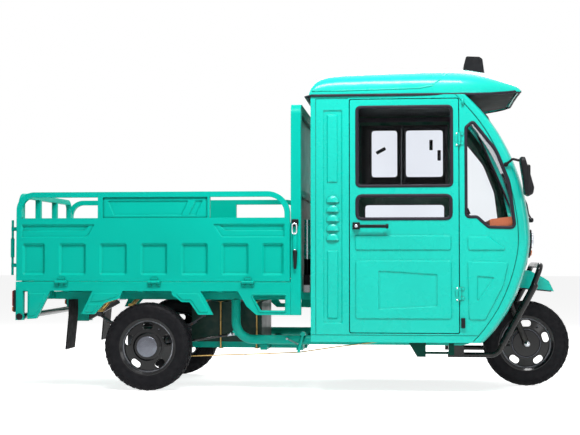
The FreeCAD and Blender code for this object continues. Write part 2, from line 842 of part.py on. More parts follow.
def cab_rear_wall():
    body = new_body()
    half = size.cab_width / 2 - size.cab_wall - size.seat_gap
    pad(body, "YZ_Plane", "cab_rear", rectangle(-half, size.floor_top - 15, half, size.cab_roof_line), "30")
    pocket(body, "YZ_Plane", "cab_rear + 31", rectangle(-380, 1120, 380, 1560, 40), "60")
    keep(body, "cab_rear_wall")


def nose_space():
    """Everything from just behind the nose's inner face forward, for fitting pieces to it."""
    return curved_panel(nose_net(-250), nose_net(size.front_wall + size.seat_gap))


def floor_underside():
    """The cab floor rests on the main tubes."""
    return size.main_tube_z + size.main_tube_radius + size.seat_gap


def cab_floor():
    half = size.cab_width / 2 - size.cab_wall - size.seat_gap
    body = new_body()
    low = floor_underside()
    edges = outline([(size.cab_rear + 30.3, low), (1858, low), (1858, 700), (1990, 800), (2200, 800),
                     (2200, 808), (1986, 808), (1850, 706), (1850, size.floor_top),
                     (size.cab_rear + 30.3, size.floor_top)])
    pad(body, "XZ_Plane", f"-{half}", edges, f"{2 * half}")
    foot, way = steering_axis()
    clear = Part.makeCylinder(size.head_tube_radius + 6, 700, foot + way * 340, way)
    clear = clear.multiFuse([main_run(side, size.seat_gap) for side in SIDES.values()])
    bracket = new_body()
    pad(bracket, "XZ_Plane", "470",
        outline([(1478, low + 1), (1596, low + 1), (1596, 205), (1548, 205)]), "8")
    rail = rod("7", "150", Vector(1590, -474, 228), X_AXIS)
    stop = box("110", "40", "36", Vector(1726, -500, low - 35))
    drop = box("30", "16", f"{low} - 215", Vector(1726, -482, 216))
    opened = cut(cut(body, feature(clear)), feature(nose_space()))
    keep(fuse(opened, bracket, rail, stop, drop), "cab_floor")


# Roof guide rows: place along X, half width, edge height, shoulder height and crown height.
ROOF = [
    (937, 3, 1690, 1690, 1690), (935, 3, 1690, 1752, 1775), (985, 3, 1690, 1806, 1850),
    (1120, 3, 1690, 1812, 1876), (1450, 3, 1690, 1816, 1886), (1760, -5, 1690, 1816, 1904),
    (1930, -45, 1692, 1800, 1886), (2060, -110, 1708, 1772, 1830), (2145, -152, 1722, 1752, 1788),
    (2145, -154, 1720, 1722, 1730),
]


def roof_net(wall):
    net = []
    for index, (x, overhang, low, shoulder, crown) in enumerate(ROOF):
        rim = index in (0, len(ROOF) - 1)
        drop = 0 if rim else wall
        w = size.cab_width / 2 + overhang - wall
        if index < 2:
            x += wall
        if index > len(ROOF) - 3:
            x -= wall
        middle = shoulder + (crown - shoulder) * 0.72
        upright = w * 0.985 if index == 0 else w
        brow = shoulder - (shoulder - low) * 0.35 - drop
        across = [(-w, low), (-upright, brow), (-w * 0.93, shoulder - drop), (-w * 0.6, middle - drop),
                  (0, crown - drop), (w * 0.6, middle - drop), (w * 0.93, shoulder - drop), (upright, brow),
                  (w, low)]
        net.append([Vector(x, y, z + size.seat_gap) for y, z in across])
    return net


def cab_roof():
    keep(feature(curved_panel(roof_net(0), roof_net(size.roof_wall))), "cab_roof")
    stations = [(952, 15, 1690), (1700, 26, 1690), (1862, 54, 1690), (2115, 182, 1716)]
    sections = []
    for x, inset, level in stations:
        half = size.cab_width / 2 - inset
        low = level + size.seat_gap
        corners = [Vector(x, -half, low), Vector(x, half, low),
                   Vector(x, half, low + 8), Vector(x, -half, low + 8)]
        sections.append(Part.makePolygon([*corners, corners[0]]))
    keep(feature(Part.makeLoft(sections, True, True)), "roof_lining")


def roof_lamp():
    edges = outline([(1835, 1840), (1960, 1830), (1960, 1874), (1948, 1966, 12), (1930, 1980, 10),
                     (1850, 1984, 12), (1836, 1930, 10)])
    body = new_body()
    pad(body, "XZ_Plane", "-60", edges, "120")
    crown = guided_surface(roof_net(-size.seat_gap))
    crown.segment(2.5, 6.5, 2, 4)
    keep(cut(body, feature(crown.toShape().extrude(Vector(0, 0, -200)))), "roof_lamp")


def dashboard():
    body = new_body()
    half = size.cab_width / 2 - size.cab_wall - 3
    edges = outline([(1960, 900, 20), (2190, 900), (2190, 1002), (2100, 1002, 20), (1955, 985, 15)])
    pad(body, "XZ_Plane", f"-{half}", edges, f"{2 * half}")
    keep(cut(body, feature(nose_space())), "dashboard")


def seat():
    base = box("460", "560", "290", Vector(1020, -280, size.floor_top + size.seat_gap))
    back_plate = box("15 - seat_gap", "440", "500", Vector(1020, -220, size.floor_top + 280))
    keep(fuse(base, back_plate), "seat_base")
    cushion = new_body()
    pad(cushion, "XY_Plane", "floor_top + 290 + 2 * seat_gap", rectangle(1105, -300, 1500, 300, 50), "100")
    keep(cushion, "seat_cushion")
    back = new_body()
    edges = outline([(1035, 740, 20), (1085, 736, 20), (1150, 738, 30), (1105, 1200, 30), (1035, 1205, 30)])
    pad(back, "XZ_Plane", "-290", edges, "580")
    keep(back, "seat_backrest")


def mirrors():
    made = []
    for side in SIDES.values():
        face = side * (size.cab_width / 2 + size.seat_gap)
        foot = Part.makeCylinder(13, 8, Vector(2046, face, 1290), Vector(0, side, 0))
        arm = tube([(2046, face + side * 6, 1290), (2080, face + side * 40, 1318),
                    (2140, face + side * 75, 1300), (2152, face + side * 90, 1240)], 18, 7)
        head = Part.makeBox(26, 110, 160, Vector(2142, -55, -70))
        head = head.makeFillet(11, head.Edges)
        head.translate(Vector(0, face + side * 95, 1190))
        made.append(feature(arm.multiFuse([head, foot])))
    keep(group(*made), "mirrors")


def crash_bar():
    half = size.bar_half_width
    parts = []
    for side in SIDES.values():
        y = side * half
        parts.append(tube([(1726, y, 203), (2012, y, 203), (2060, y, 300)], 60, size.bar_low_radius))
        parts.append(capsule(Vector(2040, y, 262), Vector(2226, y, 604), size.bar_leg_radius))
        parts.append(Part.makeSphere(size.bar_leg_radius, Vector(2226, y, 604)))
        top = floor_underside() - size.seat_gap
        parts.append(Part.makeBox(90, 30, top - 205, Vector(1730, y - 15, 205)))
    hoop = tube([(2205, -half + 6, 560), (2264, -half + 6, 722),
                 (2264, half - 6, 722), (2205, half - 6, 560)],
                48, size.bar_hoop_radius)
    solid = hoop.multiFuse(parts)
    keep(feature(solid), "crash_bar")


# The steering: fork, handlebar and mudguard, built along the raked steering axis.

def steering():
    foot, way = steering_axis()
    rake = math.radians(size.rake_deg)
    turn = Rotation(Y_AXIS, -size.rake_deg)
    hub_x = size.fork_offset * math.cos(rake)
    hub_z = -size.fork_offset * math.sin(rake)
    half = size.fork_half_width
    leg = size.fork_leg_radius
    parts = []
    for side in SIDES.values():
        y = side * half
        parts.append(Part.makeCylinder(leg, 330, Vector(hub_x, y, hub_z)))
        parts.append(Part.makeCylinder(leg + 5, 26, Vector(hub_x, y - 13, hub_z), Y_AXIS))
    parts.append(Part.makeBox(hub_x + 60, 2 * half + 40, 34, Vector(-30, -half - 20, hub_z + 316)))
    parts.append(Part.makeCylinder(size.stem_radius, 514 - size.seat_gap, Vector(0, 0, hub_z + 330)))
    guard_inside = 69.0
    span = guard_inside - size.seat_gap
    parts.append(Part.makeBox(62, 2 * span, 8, Vector(58, -span, hub_z + 342)))
    axle = Part.makeCylinder(size.axle_radius, 2 * half, Vector(hub_x, -half, hub_z), Y_AXIS)
    solid = axle.multiFuse(parts)
    keep(feature(solid, foot, turn), "front_fork")
    bar_z = hub_z + 862
    grips = []
    pipe = tube([(-175, -345, bar_z - 40), (-110, -245, bar_z), (0, -90, bar_z), (0, 90, bar_z),
                 (-110, 245, bar_z), (-175, 345, bar_z - 40)], 40, size.bar_radius)
    for side in SIDES.values():
        start = Vector(-110, side * 245, bar_z)
        end = Vector(-175, side * 345, bar_z - 40)
        way_out = (end - start).normalize()
        grips.append(capsule(end - way_out * 95, end, size.grip_radius))
    clamp = Part.makeBox(44, 70, 36, Vector(-22, -35, bar_z - 18))
    keep(feature(pipe.multiFuse([*grips, clamp]), foot, turn), "handlebar")
    guard = new_body()
    hub = size.wheelbase
    edges = outline([(hub - 88, 590), (hub + 161, 567), (hub + 132, 628, 20), (hub + 106, 646, 30),
                     (hub + 22, 690, 40), (hub - 50, 694, 30)])
    pad(guard, "XZ_Plane", "-75", edges, "150")
    inner = outline([(hub - 110, 560), (hub + 140, 560), (hub + 122, 620, 18), (hub + 100, 638, 28),
                     (hub + 20, 682, 38), (hub - 110, 690)])
    pocket(guard, "XZ_Plane", "69", inner, "138")
    keep(guard, "front_mudguard")


# The cargo bed and its gates.

def bed_floor():
    inside = size.bed_width / 2 - size.rail_depth - size.seat_gap
    across = "bed_width - 2 * rail_depth - 2 * seat_gap"
    deck = size.rail_top - 22
    parts = [box("bed_rear + post_front - headboard_wall - seat_gap", across, "floor_sheet",
                 Vector(-size.bed_rear, -inside, deck))]
    for x in (-500, -330, -60, 165, 400, 640, 800):
        parts.append(box("30", across, f"{deck} - bed_seat", Vector(x, -inside, size.bed_seat)))
    parts.append(box("40", across, "rail_top - bed_seat", Vector(-size.bed_rear, -inside, size.bed_seat)))
    for side in SIDES.values():
        y = side * beam_line()
        for offset in (-18, 8.5):
            lug = box("54", "9.5", f"{deck} - tip_z + 22",
                      Vector(size.tip_x - 30, y + offset, size.tip_z - 22))
            parts.append(lug)
        parts.append(rod("tip_pin", "36", Vector(size.tip_x, y - 18, size.tip_z), Y_AXIS))
    eye = Vector(size.ram_eye_x, 0, size.ram_eye_z)
    for offset in (-32, 22):
        parts.append(box("44", "10", f"{deck} - ram_eye_z + 16", Vector(eye.x - 22, offset, eye.z - 16)))
    parts.append(rod("ram_pin", "64", Vector(eye.x, -32, eye.z), Y_AXIS))
    fixed, _ = tailgate_hinges()
    parts.append(feature(fixed[0].multiFuse(fixed[1:])))
    keep(fuse(*parts), "bed_floor")


def tailgate_hinges():
    places = [Vector(-size.bed_rear - size.hinge_out, y, size.rail_top) for y in (-340, 0, 340)]
    return hinge_set(places, Y_AXIS, Vector(-1, 0, 0), Z_AXIS, size.hinge_out, size.hinge_pin,
                     size.hinge_knuckle, size.hinge_length)


def gate_hinges(side):
    line = side * (size.bed_width / 2 + size.hinge_out)
    places = [Vector(x, line, size.rail_top) for x in (-503, 45, 587)]
    return hinge_set(places, X_AXIS, Vector(0, side, 0), Z_AXIS, size.hinge_out, size.hinge_pin,
                     size.hinge_knuckle, size.hinge_length)


def door_hinges(side):
    places = [Vector(size.door_front, side * (size.cab_width / 2 + size.door_hinge_out), z)
              for z in (566, 1438)]
    return hinge_set(places, Z_AXIS, Vector(0, side, 0), Vector(-1, 0, 0), size.door_hinge_out,
                     size.door_hinge_pin, size.door_knuckle, size.hinge_length)


SKIRTS = [
    [(-571, 578), (-571, 571), (-632, 448, 20), (-650, 415, 10), (-704, 411), (-704, 578)],
    [(-319, 578), (-143, 578), (-143, 572), (-160, 532, 10), (-248, 506, 30), (-307, 441), (-385, 441)],
    [(144, 578), (313, 578), (385, 441), (300, 441), (250, 513, 10), (204, 513, 10), (146, 556, 10)],
    [(526, 578), (832, 578), (832, 441), (636, 441), (580, 490, 10)],
]


def rail_front():
    return size.post_front - size.headboard_wall - size.seat_gap


def bed_rail(name, side):
    half = "bed_width / 2"
    body = wall_body(side, half, "rail_depth",
                     rectangle(-size.bed_rear, size.rail_bottom, rail_front(), size.rail_top))
    for points in SKIRTS:
        inner = f"{half} - skirt_wall" if side == RIGHT else f"-({half})"
        pad(body, "XZ_Plane", inner, outline(points), "skirt_wall")
    inner = f"{half} - rail_depth" if side == RIGHT else f"-({half})"
    pad(body, "XZ_Plane", inner, rectangle(-size.bed_rear, size.post_bottom, -size.bed_rear + 42,
                                           size.rail_bottom + 3), "rail_depth")
    sink(body, side, half, outline([(612, 552, 8), (800, 552, 8), (800, 467, 8), (660, 467, 8)]),
         "skirt_wall * 2")
    fixed, _ = gate_hinges(side)
    keep(fuse(body, feature(fixed[0].multiFuse(fixed[1:]))), f"bed_rail_{name}")


def headboard():
    body = new_body()
    half = size.bed_width / 2
    back = "post_front - headboard_wall"
    frame_edges = outline([(-half, size.skirt_bottom), (-half, size.headboard_top, size.headboard_round),
                           (half, size.headboard_top, size.headboard_round), (half, size.skirt_bottom),
                           (half - 50, size.skirt_bottom), (half - 50, size.rail_bottom),
                           (-half + 50, size.rail_bottom), (-half + 50, size.skirt_bottom)])
    pad(body, "YZ_Plane", back, frame_edges, "headboard_wall")
    inner = rectangle(-half + 55, 660, half - 55, 1120, 30)
    pocket(body, "YZ_Plane", "post_front + 1", inner, "20")
    upper = rectangle(-half + 55, 1160, half - 55, size.headboard_top - 55, 50)
    pocket(body, "YZ_Plane", "post_front + 1", upper, "20")
    keep(body, "headboard")


RIBS = [(-736, -602), (-519, -359), (-279, -117), (-38, 120), (199, 356), (434, 592), (667, 793)]


def side_gate(name, side):
    half = "bed_width / 2"
    rear = -size.bed_rear + 2
    front = size.gate_front - 1
    bar = size.gate_bar
    body = wall_body(side, half, "gate_wall", outline([
        (rear, size.gate_bottom), (front, size.gate_bottom),
        (front, size.gate_top, size.gate_front_round), (rear, size.gate_top, size.gate_rear_round)]))
    through = "gate_wall * 2"
    top = size.gate_top - bar
    bays = [
        outline([(rear + bar, size.gate_mid_top), (-290, size.gate_mid_top), (-290, top),
                 (rear + bar, top, size.gate_rear_round - bar)]),
        outline([(366, size.gate_mid_top), (front - bar, size.gate_mid_top),
                 (front - bar, top, size.gate_front_round - bar), (366, top)]),
    ]
    for bay in bays:
        sink(body, side, half, bay, through)
    sink(body, side, half, rectangle(-260, size.gate_mid_top, 352, top, 4), "panel_recess")
    low = size.gate_mid_top + 13
    high = top - 19
    panel_half = f"{half} - panel_recess"
    sink(body, side, panel_half, outline([(-198, low, 4), (202, low, 4), (241, high, 4), (-237, high, 4)]),
         "press_depth", size.press_bevel)
    sink(body, side, panel_half, outline([(238, low, 4), (284, low, 4), (326, high, 4), (282, high, 4)]),
         "press_depth", size.press_bevel)
    for step, depth in ((0, "press_depth"), (30, "press_depth * 2")):
        level = 884 + step
        sink(body, side, half, outline([(rear + 28, level, 6), (-352 - step * 0.6, level, 24),
                                        (-306 - step * 0.6, 962, 4), (rear + 28, 962, 4)]),
             depth, size.press_bevel)
        sink(body, side, half, outline([(434 + step * 0.6, level, 24), (front - 30, level, 6),
                                        (front - 30, 962, 4), (383 + step * 0.6, 962, 4)]),
             depth, size.press_bevel)
    for left, right in RIBS:
        sink(body, side, half, rectangle(left, 667, right, 852, size.rib_recess + 2),
             "rib_recess", size.press_bevel)
    _, moving = gate_hinges(side)
    joined = fuse(body, *[feature(knuckle) for knuckle in moving])
    gap = size.seat_gap
    near = min(side * (size.bed_width / 2 - 60), side * (size.bed_width / 2 + 20))
    foot = size.gate_mid_top + 0.5
    slots = [(Vector(rear - 10, near, foot), (front - rear + 20, 80, gap))]
    for x in (rear + size.gate_rear_round - 18, -291, 366.7, front - size.gate_front_round + 26):
        slots.append((Vector(x, near, foot), (gap, 80, 200)))
    keep(sawn(joined, slots), f"side_gate_{name}")


def tailgate():
    body = new_body()
    half = size.bed_width / 2 - size.gate_wall - size.gate_gap
    bar = size.gate_bar
    pad(body, "YZ_Plane", "-bed_rear", outline([
        (-half, size.gate_bottom), (half, size.gate_bottom), (half, size.gate_top, 90),
        (-half, size.gate_top, 90)]), "gate_wall")
    top = size.gate_top - bar
    third = (2 * half) / 3
    foot = size.gate_mid_top + 0.5
    slots = [(Vector(-size.bed_rear - 10, -half - 10, foot), (80, 2 * half + 20, size.seat_gap))]
    for index in range(3):
        low = -half + index * third + (bar if index == 0 else bar / 2)
        high = -half + (index + 1) * third - (bar if index == 2 else bar / 2)
        round_low = 30 if index == 0 else 0
        round_high = 30 if index == 2 else 0
        pocket(body, "YZ_Plane", "-bed_rear + gate_wall + 1",
               outline([(low, size.gate_mid_top), (high, size.gate_mid_top), (high, top, round_high),
                        (low, top, round_low)]), "gate_wall * 2")
        for y in (low + round_low / 2 + 0.7, high - round_high / 2 - 1):
            slots.append((Vector(-size.bed_rear - 10, y, foot), (80, size.seat_gap, 200)))
    _, moving = tailgate_hinges()
    latches = []
    for side in SIDES.values():
        latches.append(feature(tailgate_latch(side)))
    keep(sawn(fuse(body, *[feature(knuckle) for knuckle in moving], *latches), slots), "tailgate")


def tailgate_latch(side):
    """An upright locking rod behind the tailgate's corner, in two eyes, with its grip."""
    x = -size.bed_rear - size.latch_out
    y = side * 480
    parts = []
    for z in (712, 925):
        parts.append(Part.makeBox(size.latch_out + 6, 14, 22, Vector(x - 6, y - 7, z)))
    parts.append(Part.makeCylinder(size.latch_grip, 110, Vector(x, y, 770)))
    return Part.makeCylinder(size.latch_rod, 323, Vector(x, y, 665)).multiFuse(parts)


def bumper_and_flaps():
    keep(rod("bumper_radius", "bed_width - 2 * rail_depth - 2 * seat_gap",
             Vector(-745, -size.bed_width / 2 + size.rail_depth + size.seat_gap, 426), Y_AXIS), "rear_bumper")
    flaps = []
    top = size.beam_bottom - size.seat_gap
    for side in SIDES.values():
        flap = new_body()
        edges = outline([(-473, top), (-466, top), (-466, 430), (-484, 233), (-491, 233), (-473, 430)])
        near = "320" if side == RIGHT else "-504"
        pad(flap, "XZ_Plane", near, edges, "184")
        flaps.append(flap)
    keep(group(*flaps), "mud_flaps")


def ram():
    base = Vector(size.ram_base_x, 0, size.ram_base_z)
    eye = Vector(size.ram_eye_x, 0, size.ram_eye_z)
    way = (eye - base).normalize()
    length = (eye - base).Length
    barrel = capsule(base + way * 12, base + way * (length - 40), size.ram_radius)
    half = size.ram_ear_gap - 2
    knuckle = Part.makeCylinder(20, 2 * half, base - Y_AXIS * half, Y_AXIS)
    bore = Part.makeCylinder(size.ram_pin + size.axle_fit, 90, base - Y_AXIS * 45, Y_AXIS)
    bore_along = capsule(base + way * 27, base + way * (length + 10), size.ram_rod_radius + size.axle_fit)
    keep(feature(barrel.fuse(knuckle).cut(bore).cut(bore_along)), "ram_barrel")
    shaft = capsule(base + way * 32, eye - way * 20, size.ram_rod_radius)
    hole_radius = size.ram_pin + size.ram_eye_play
    head = Part.makeCylinder(hole_radius + 7, 42, eye - Y_AXIS * 21, Y_AXIS)
    hole = Part.makeCylinder(hole_radius, 60, eye - Y_AXIS * 30, Y_AXIS)
    keep(feature(shaft.fuse(head).cut(hole)), "ram_rod")


def hydraulic_unit():
    base = Vector(916, -beam_line() - 10, size.beam_top + size.seat_gap)
    parts = [Part.makeBox(36, 90, 100, base - Vector(18, 45, 0)),
             Part.makeCylinder(19, 175, base + Vector(0, 0, 100)),
             Part.makeCylinder(17, 150, base + Vector(0, 0, 270))]
    keep(feature(parts[0].multiFuse(parts[1:])), "hydraulic_unit")


wheels()
rear_axle()
leaf_springs()
frame()
battery_box()
for side_name, side_sign in SIDES.items():
    cab_side(side_name, side_sign)
    door(side_name, side_sign)
    bed_rail(side_name, side_sign)
    side_gate(side_name, side_sign)
cab_windows()
cab_front()
cab_rear_wall()
cab_floor()
cab_roof()
roof_lamp()
dashboard()
seat()
mirrors()
crash_bar()
steering()
bed_floor()
headboard()
tailgate()
bumper_and_flaps()
ram()
hydraulic_unit()

doc.recompute()
shift = Placement(Vector(size.rear_axle_x, 0, 0), Rotation())
for item in subparts:
    item.Placement = shift * item.Placement
doc.recompute()

faults = [item.Label for item in doc.Objects if {"Invalid", "Error"} & set(item.State)]
faults += [item.Label for item in subparts if item.Shape.isNull() or not item.Shape.isValid()]
if faults:
    raise RuntimeError(f"failed objects: {faults}")

os.makedirs("parts", exist_ok=True)
for item in subparts:
    item.Shape.exportStep(f"parts/{item.Label}.step")
whole = subparts[0].Shape.BoundBox
for item in subparts:
    whole.add(item.Shape.BoundBox)
print(len(subparts), "sub-parts,", whole)
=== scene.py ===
import math

import bmesh
import bpy
from mathutils import Matrix, Vector
from mathutils.bvhtree import BVHTree


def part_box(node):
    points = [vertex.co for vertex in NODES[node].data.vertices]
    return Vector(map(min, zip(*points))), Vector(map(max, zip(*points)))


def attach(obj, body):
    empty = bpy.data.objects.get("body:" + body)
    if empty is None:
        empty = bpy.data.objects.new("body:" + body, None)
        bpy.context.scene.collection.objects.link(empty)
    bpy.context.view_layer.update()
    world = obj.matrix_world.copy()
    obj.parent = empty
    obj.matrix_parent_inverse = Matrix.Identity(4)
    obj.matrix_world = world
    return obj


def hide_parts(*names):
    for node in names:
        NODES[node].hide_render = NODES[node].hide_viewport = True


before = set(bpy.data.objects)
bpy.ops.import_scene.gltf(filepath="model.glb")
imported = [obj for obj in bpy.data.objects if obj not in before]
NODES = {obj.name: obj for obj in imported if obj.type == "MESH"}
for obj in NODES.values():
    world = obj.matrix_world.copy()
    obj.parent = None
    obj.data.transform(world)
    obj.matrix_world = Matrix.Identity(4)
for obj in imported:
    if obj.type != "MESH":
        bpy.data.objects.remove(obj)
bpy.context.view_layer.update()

# Places are read in millimetres from the rear axle, as on a body drawing: X forward, Y to the
# vehicle's left, Z up from the ground.
MM = 0.001
SIDES = {"right": -1, "left": 1}
AXES = X_WAY, Y_WAY, Z_WAY = Vector((1, 0, 0)), Vector((0, 1, 0)), Vector((0, 0, 1))
tyre_low, tyre_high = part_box("rear_right_tyre")
AXLE_X = (tyre_low.x + tyre_high.x) / 2
WHEELBASE = 2200.0
TYRE_RADIUS = 255.0
REAR_WHEEL_Y = 490.0
CAB_WALL_FACE = 550.0
BED_FACE = 550.0
DOOR_REBATE = 510.2
INNER_SKIN = 0.534


def at(x, y, z):
    """A place on the vehicle, from millimetres to the scene's metres."""
    return Vector((AXLE_X + x * MM, y * MM, z * MM))


# Materials. Each has its own colour drift, roughness and fine relief from noise that is fixed
# to the piece.

def linear(red, green, blue):
    """A colour read on a screen, 0 to 255, as the linear colour that a shader takes."""
    def one(value):
        share = value / 255
        return share / 12.92 if share <= 0.04045 else ((share + 0.055) / 1.055) ** 2.4
    return (one(red), one(green), one(blue), 1.0)


TURQUOISE = linear(0, 200, 182)
# The green of the cab's inner faces, darkened with painted shade of the unlit interior.
INNER_GREEN_AND_SHADE = linear(4, 62, 46)
DUST = linear(120, 112, 96)


class Finish:
    """A node material under construction."""

    def __init__(self, name):
        self.material = bpy.data.materials.new(name)
        self.material.use_nodes = True
        self.tree = self.material.node_tree
        self.shader = self.tree.nodes["Principled BSDF"]
        self.place = self.node("ShaderNodeTexCoord").outputs["Object"]

    def node(self, kind, **settings):
        made = self.tree.nodes.new(kind)
        for name, value in settings.items():
            setattr(made, name, value)
        return made

    def join(self, source, target):
        self.tree.links.new(source, target)

    def fill(self, socket, value):
        """Sets a socket to a number, or joins it to another node's output."""
        if isinstance(value, bpy.types.NodeSocket):
            self.join(value, socket)
        else:
            socket.default_value = value

    def math(self, operation, first, second=0.0):
        made = self.node("ShaderNodeMath", operation=operation)
        for socket, value in zip(made.inputs, (first, second)):
            self.fill(socket, value)
        return made.outputs[0]

    def ramp(self, value, low, high, start=0.0, end=1.0):
        """value from low..high spread over start..end, and held beyond."""
        made = self.node("ShaderNodeMapRange", clamp=True)
        for name, number in (("From Min", low), ("From Max", high), ("To Min", start), ("To Max", end)):
            made.inputs[name].default_value = number
        self.fill(made.inputs["Value"], value)
        return made.outputs["Result"]

    def noise(self, scale, detail=3.0, stretch=(1, 1, 1)):
        mapping = self.node("ShaderNodeMapping")
        mapping.inputs["Scale"].default_value = stretch
        self.join(self.place, mapping.inputs["Vector"])
        made = self.node("ShaderNodeTexNoise")
        made.inputs["Scale"].default_value = scale
        made.inputs["Detail"].default_value = detail
        self.join(mapping.outputs["Vector"], made.inputs["Vector"])
        return made.outputs["Fac"]

    def mix(self, share, first, second):
        made = self.node("ShaderNodeMix", data_type="RGBA")
        self.fill(made.inputs["Factor"], share)
        colours = [socket for socket in made.inputs if socket.type == "RGBA"]
        self.fill(colours[0], first)
        self.fill(colours[1], second)
        return [socket for socket in made.outputs if socket.type == "RGBA"][0]

    def axis(self, name):
        """One coordinate of the place on the piece, in metres."""
        split = self.node("ShaderNodeSeparateXYZ")
        self.join(self.place, split.inputs[0])
        return split.outputs[name]

    def drift(self, colour, spread, scale):
        """A colour that drifts lighter and darker in soft patches."""
        dark = tuple(c * (1 - spread) for c in colour[:3]) + (1.0,)
        light = tuple(min(1.0, c * (1 + spread)) for c in colour[:3]) + (1.0,)
        return self.mix(self.ramp(self.noise(scale), 0.3, 0.7), dark, light)

    def rough(self, middle, spread, scale):
        value = self.ramp(self.noise(scale, 4.0), 0.3, 0.7, middle - spread, middle + spread)
        self.join(value, self.shader.inputs["Roughness"])

    def relief(self, height, depth, edge=0.0):
        """Fine bump from a height, over edges that are softened by a radius."""
        bump = self.node("ShaderNodeBump")
        bump.inputs["Strength"].default_value = 1.0
        bump.inputs["Distance"].default_value = depth
        self.fill(bump.inputs["Height"], height)
        if edge:
            soft = self.node("ShaderNodeBevel", samples=4)
            soft.inputs["Radius"].default_value = edge
            self.join(soft.outputs["Normal"], bump.inputs["Normal"])
        self.join(bump.outputs["Normal"], self.shader.inputs["Normal"])

    def colour(self, value):
        self.fill(self.shader.inputs["Base Color"], value)

    def set(self, **numbers):
        for name, value in numbers.items():
            self.shader.inputs[name.replace("_", " ")].default_value = value


def paint(name, colour, rough=0.28, coat=0.35, shine=0.25, inner=None, inner_from=None, dust=0.0):
    """Sprayed enamel over steel sheet: soft gloss, faint orange peel, a little dust low down, and painted
    shade that darkens creases, corners and recesses.

    An inner colour, dark green with painted shade of the cab's unlit interior, starts at a distance from the
    middle, or else covers what faces the rear."""
    made = Finish(name)
    shown = made.drift(colour, 0.06, 1.6)
    # Painted shade: inner faces take a dark green that is partly the lining's colour and partly the shade
    # within the cab.
    if inner is not None:
        if inner_from is None:
            facing = made.node("ShaderNodeSeparateXYZ")
            made.join(made.node("ShaderNodeTexCoord").outputs["Normal"], facing.inputs[0])
            shaded_inside = made.math("LESS_THAN", facing.outputs["X"], -0.05)
        else:
            shaded_inside = made.math("LESS_THAN", made.math("ABSOLUTE", made.axis("Y")), inner_from)
        shown = made.mix(shaded_inside, shown, made.drift(inner, 0.15, 5.0))
    if dust:
        low = made.ramp(made.axis("Z"), 0.28, 0.62, dust, 0.0)
        patchy = made.math("MULTIPLY", low, made.ramp(made.noise(22.0, 6.0), 0.35, 0.75))
        shown = made.mix(patchy, shown, DUST)
    # Painted shade: ambient occlusion blends the colour towards a dark copy of the paint in creases, corners
    # and recesses.
    corner = made.node("ShaderNodeAmbientOcclusion", samples=6, only_local=True)
    corner.inputs["Distance"].default_value = 0.016
    shade = made.ramp(corner.outputs["AO"], 0.45, 0.98, 0.9, 0.0)
    painted_crease_shade_colour = tuple(c * 0.25 for c in colour[:3]) + (1.0,)
    made.colour(made.mix(shade, shown, painted_crease_shade_colour))
    made.rough(rough, 0.05, 9.0)
    made.relief(made.noise(420.0, 2.0), 0.00006, 0.003)
    made.set(Coat_Weight=coat, Coat_Roughness=0.08, Specular_IOR_Level=shine)
    return made.material


def plastic(name, colour, rough, grain=900.0, depth=0.00008, shine=0.2):
    """Moulded plastic or rubber with a fine grain."""
    made = Finish(name)
    made.colour(made.drift(colour, 0.12, 14.0))
    made.rough(rough, 0.08, 30.0)
    made.relief(made.noise(grain, 2.0), depth, 0.0015)
    made.set(Specular_IOR_Level=shine)
    return made.material


def metal(name, colour, rough, streak=(1, 1, 1), scale=60.0, rust=None, rust_share=0.0):
    """Bare or plated metal with fine brushing, and rust where it is named."""
    made = Finish(name)
    shown = made.drift(colour, 0.12, 18.0)
    patch = 0.0
    if rust is not None:
        patch = made.ramp(made.noise(34.0, 8.0), 0.62 - rust_share, 0.72 - rust_share)
        shown = made.mix(patch, shown, made.drift(rust, 0.3, 90.0))
        made.join(made.math("SUBTRACT", 1.0, patch), made.shader.inputs["Metallic"])
    else:
        made.set(Metallic=1.0)
    made.colour(shown)
    made.rough(rough, min(0.06, rough * 0.5), 40.0)
    made.relief(made.noise(scale, 4.0, streak), 0.00005, 0.0012)
    return made.material


def glass(name, tint):
    """Clear safety glass that lets lamps through."""
    made = Finish(name)
    made.colour(made.drift(tint, 0.03, 2.0))
    made.set(Transmission_Weight=1.0, IOR=1.12)
    made.rough(0.03, 0.02, 5.0)
    see = made.node("ShaderNodeBsdfTransparent")
    see.inputs["Color"].default_value = (0.9, 0.93, 0.93, 1.0)
    path = made.node("ShaderNodeLightPath")
    both = made.node("ShaderNodeMixShader")
    made.join(path.outputs["Is Shadow Ray"], both.inputs[0])
    made.join(made.shader.outputs[0], both.inputs[1])
    made.join(see.outputs[0], both.inputs[2])
    made.join(both.outputs[0], made.tree.nodes["Material Output"].inputs["Surface"])
    return made.material


def banded(name, steps):
    """Metal whose colour changes at heights above the ground, from low to high."""
    made = Finish(name)
    shown = steps[0][1]
    for height, colour in steps[1:]:
        above = made.math("GREATER_THAN", made.axis("Z"), height * MM)
        shown = made.mix(above, shown, colour)
    made.colour(shown)
    made.set(Metallic=1.0)
    made.rough(0.25, 0.06, 30.0)
    made.relief(made.noise(200.0, 2.0), 0.00005, 0.001)
    return made.material


LIP_HIGHLIGHT_RING = (141, 149)


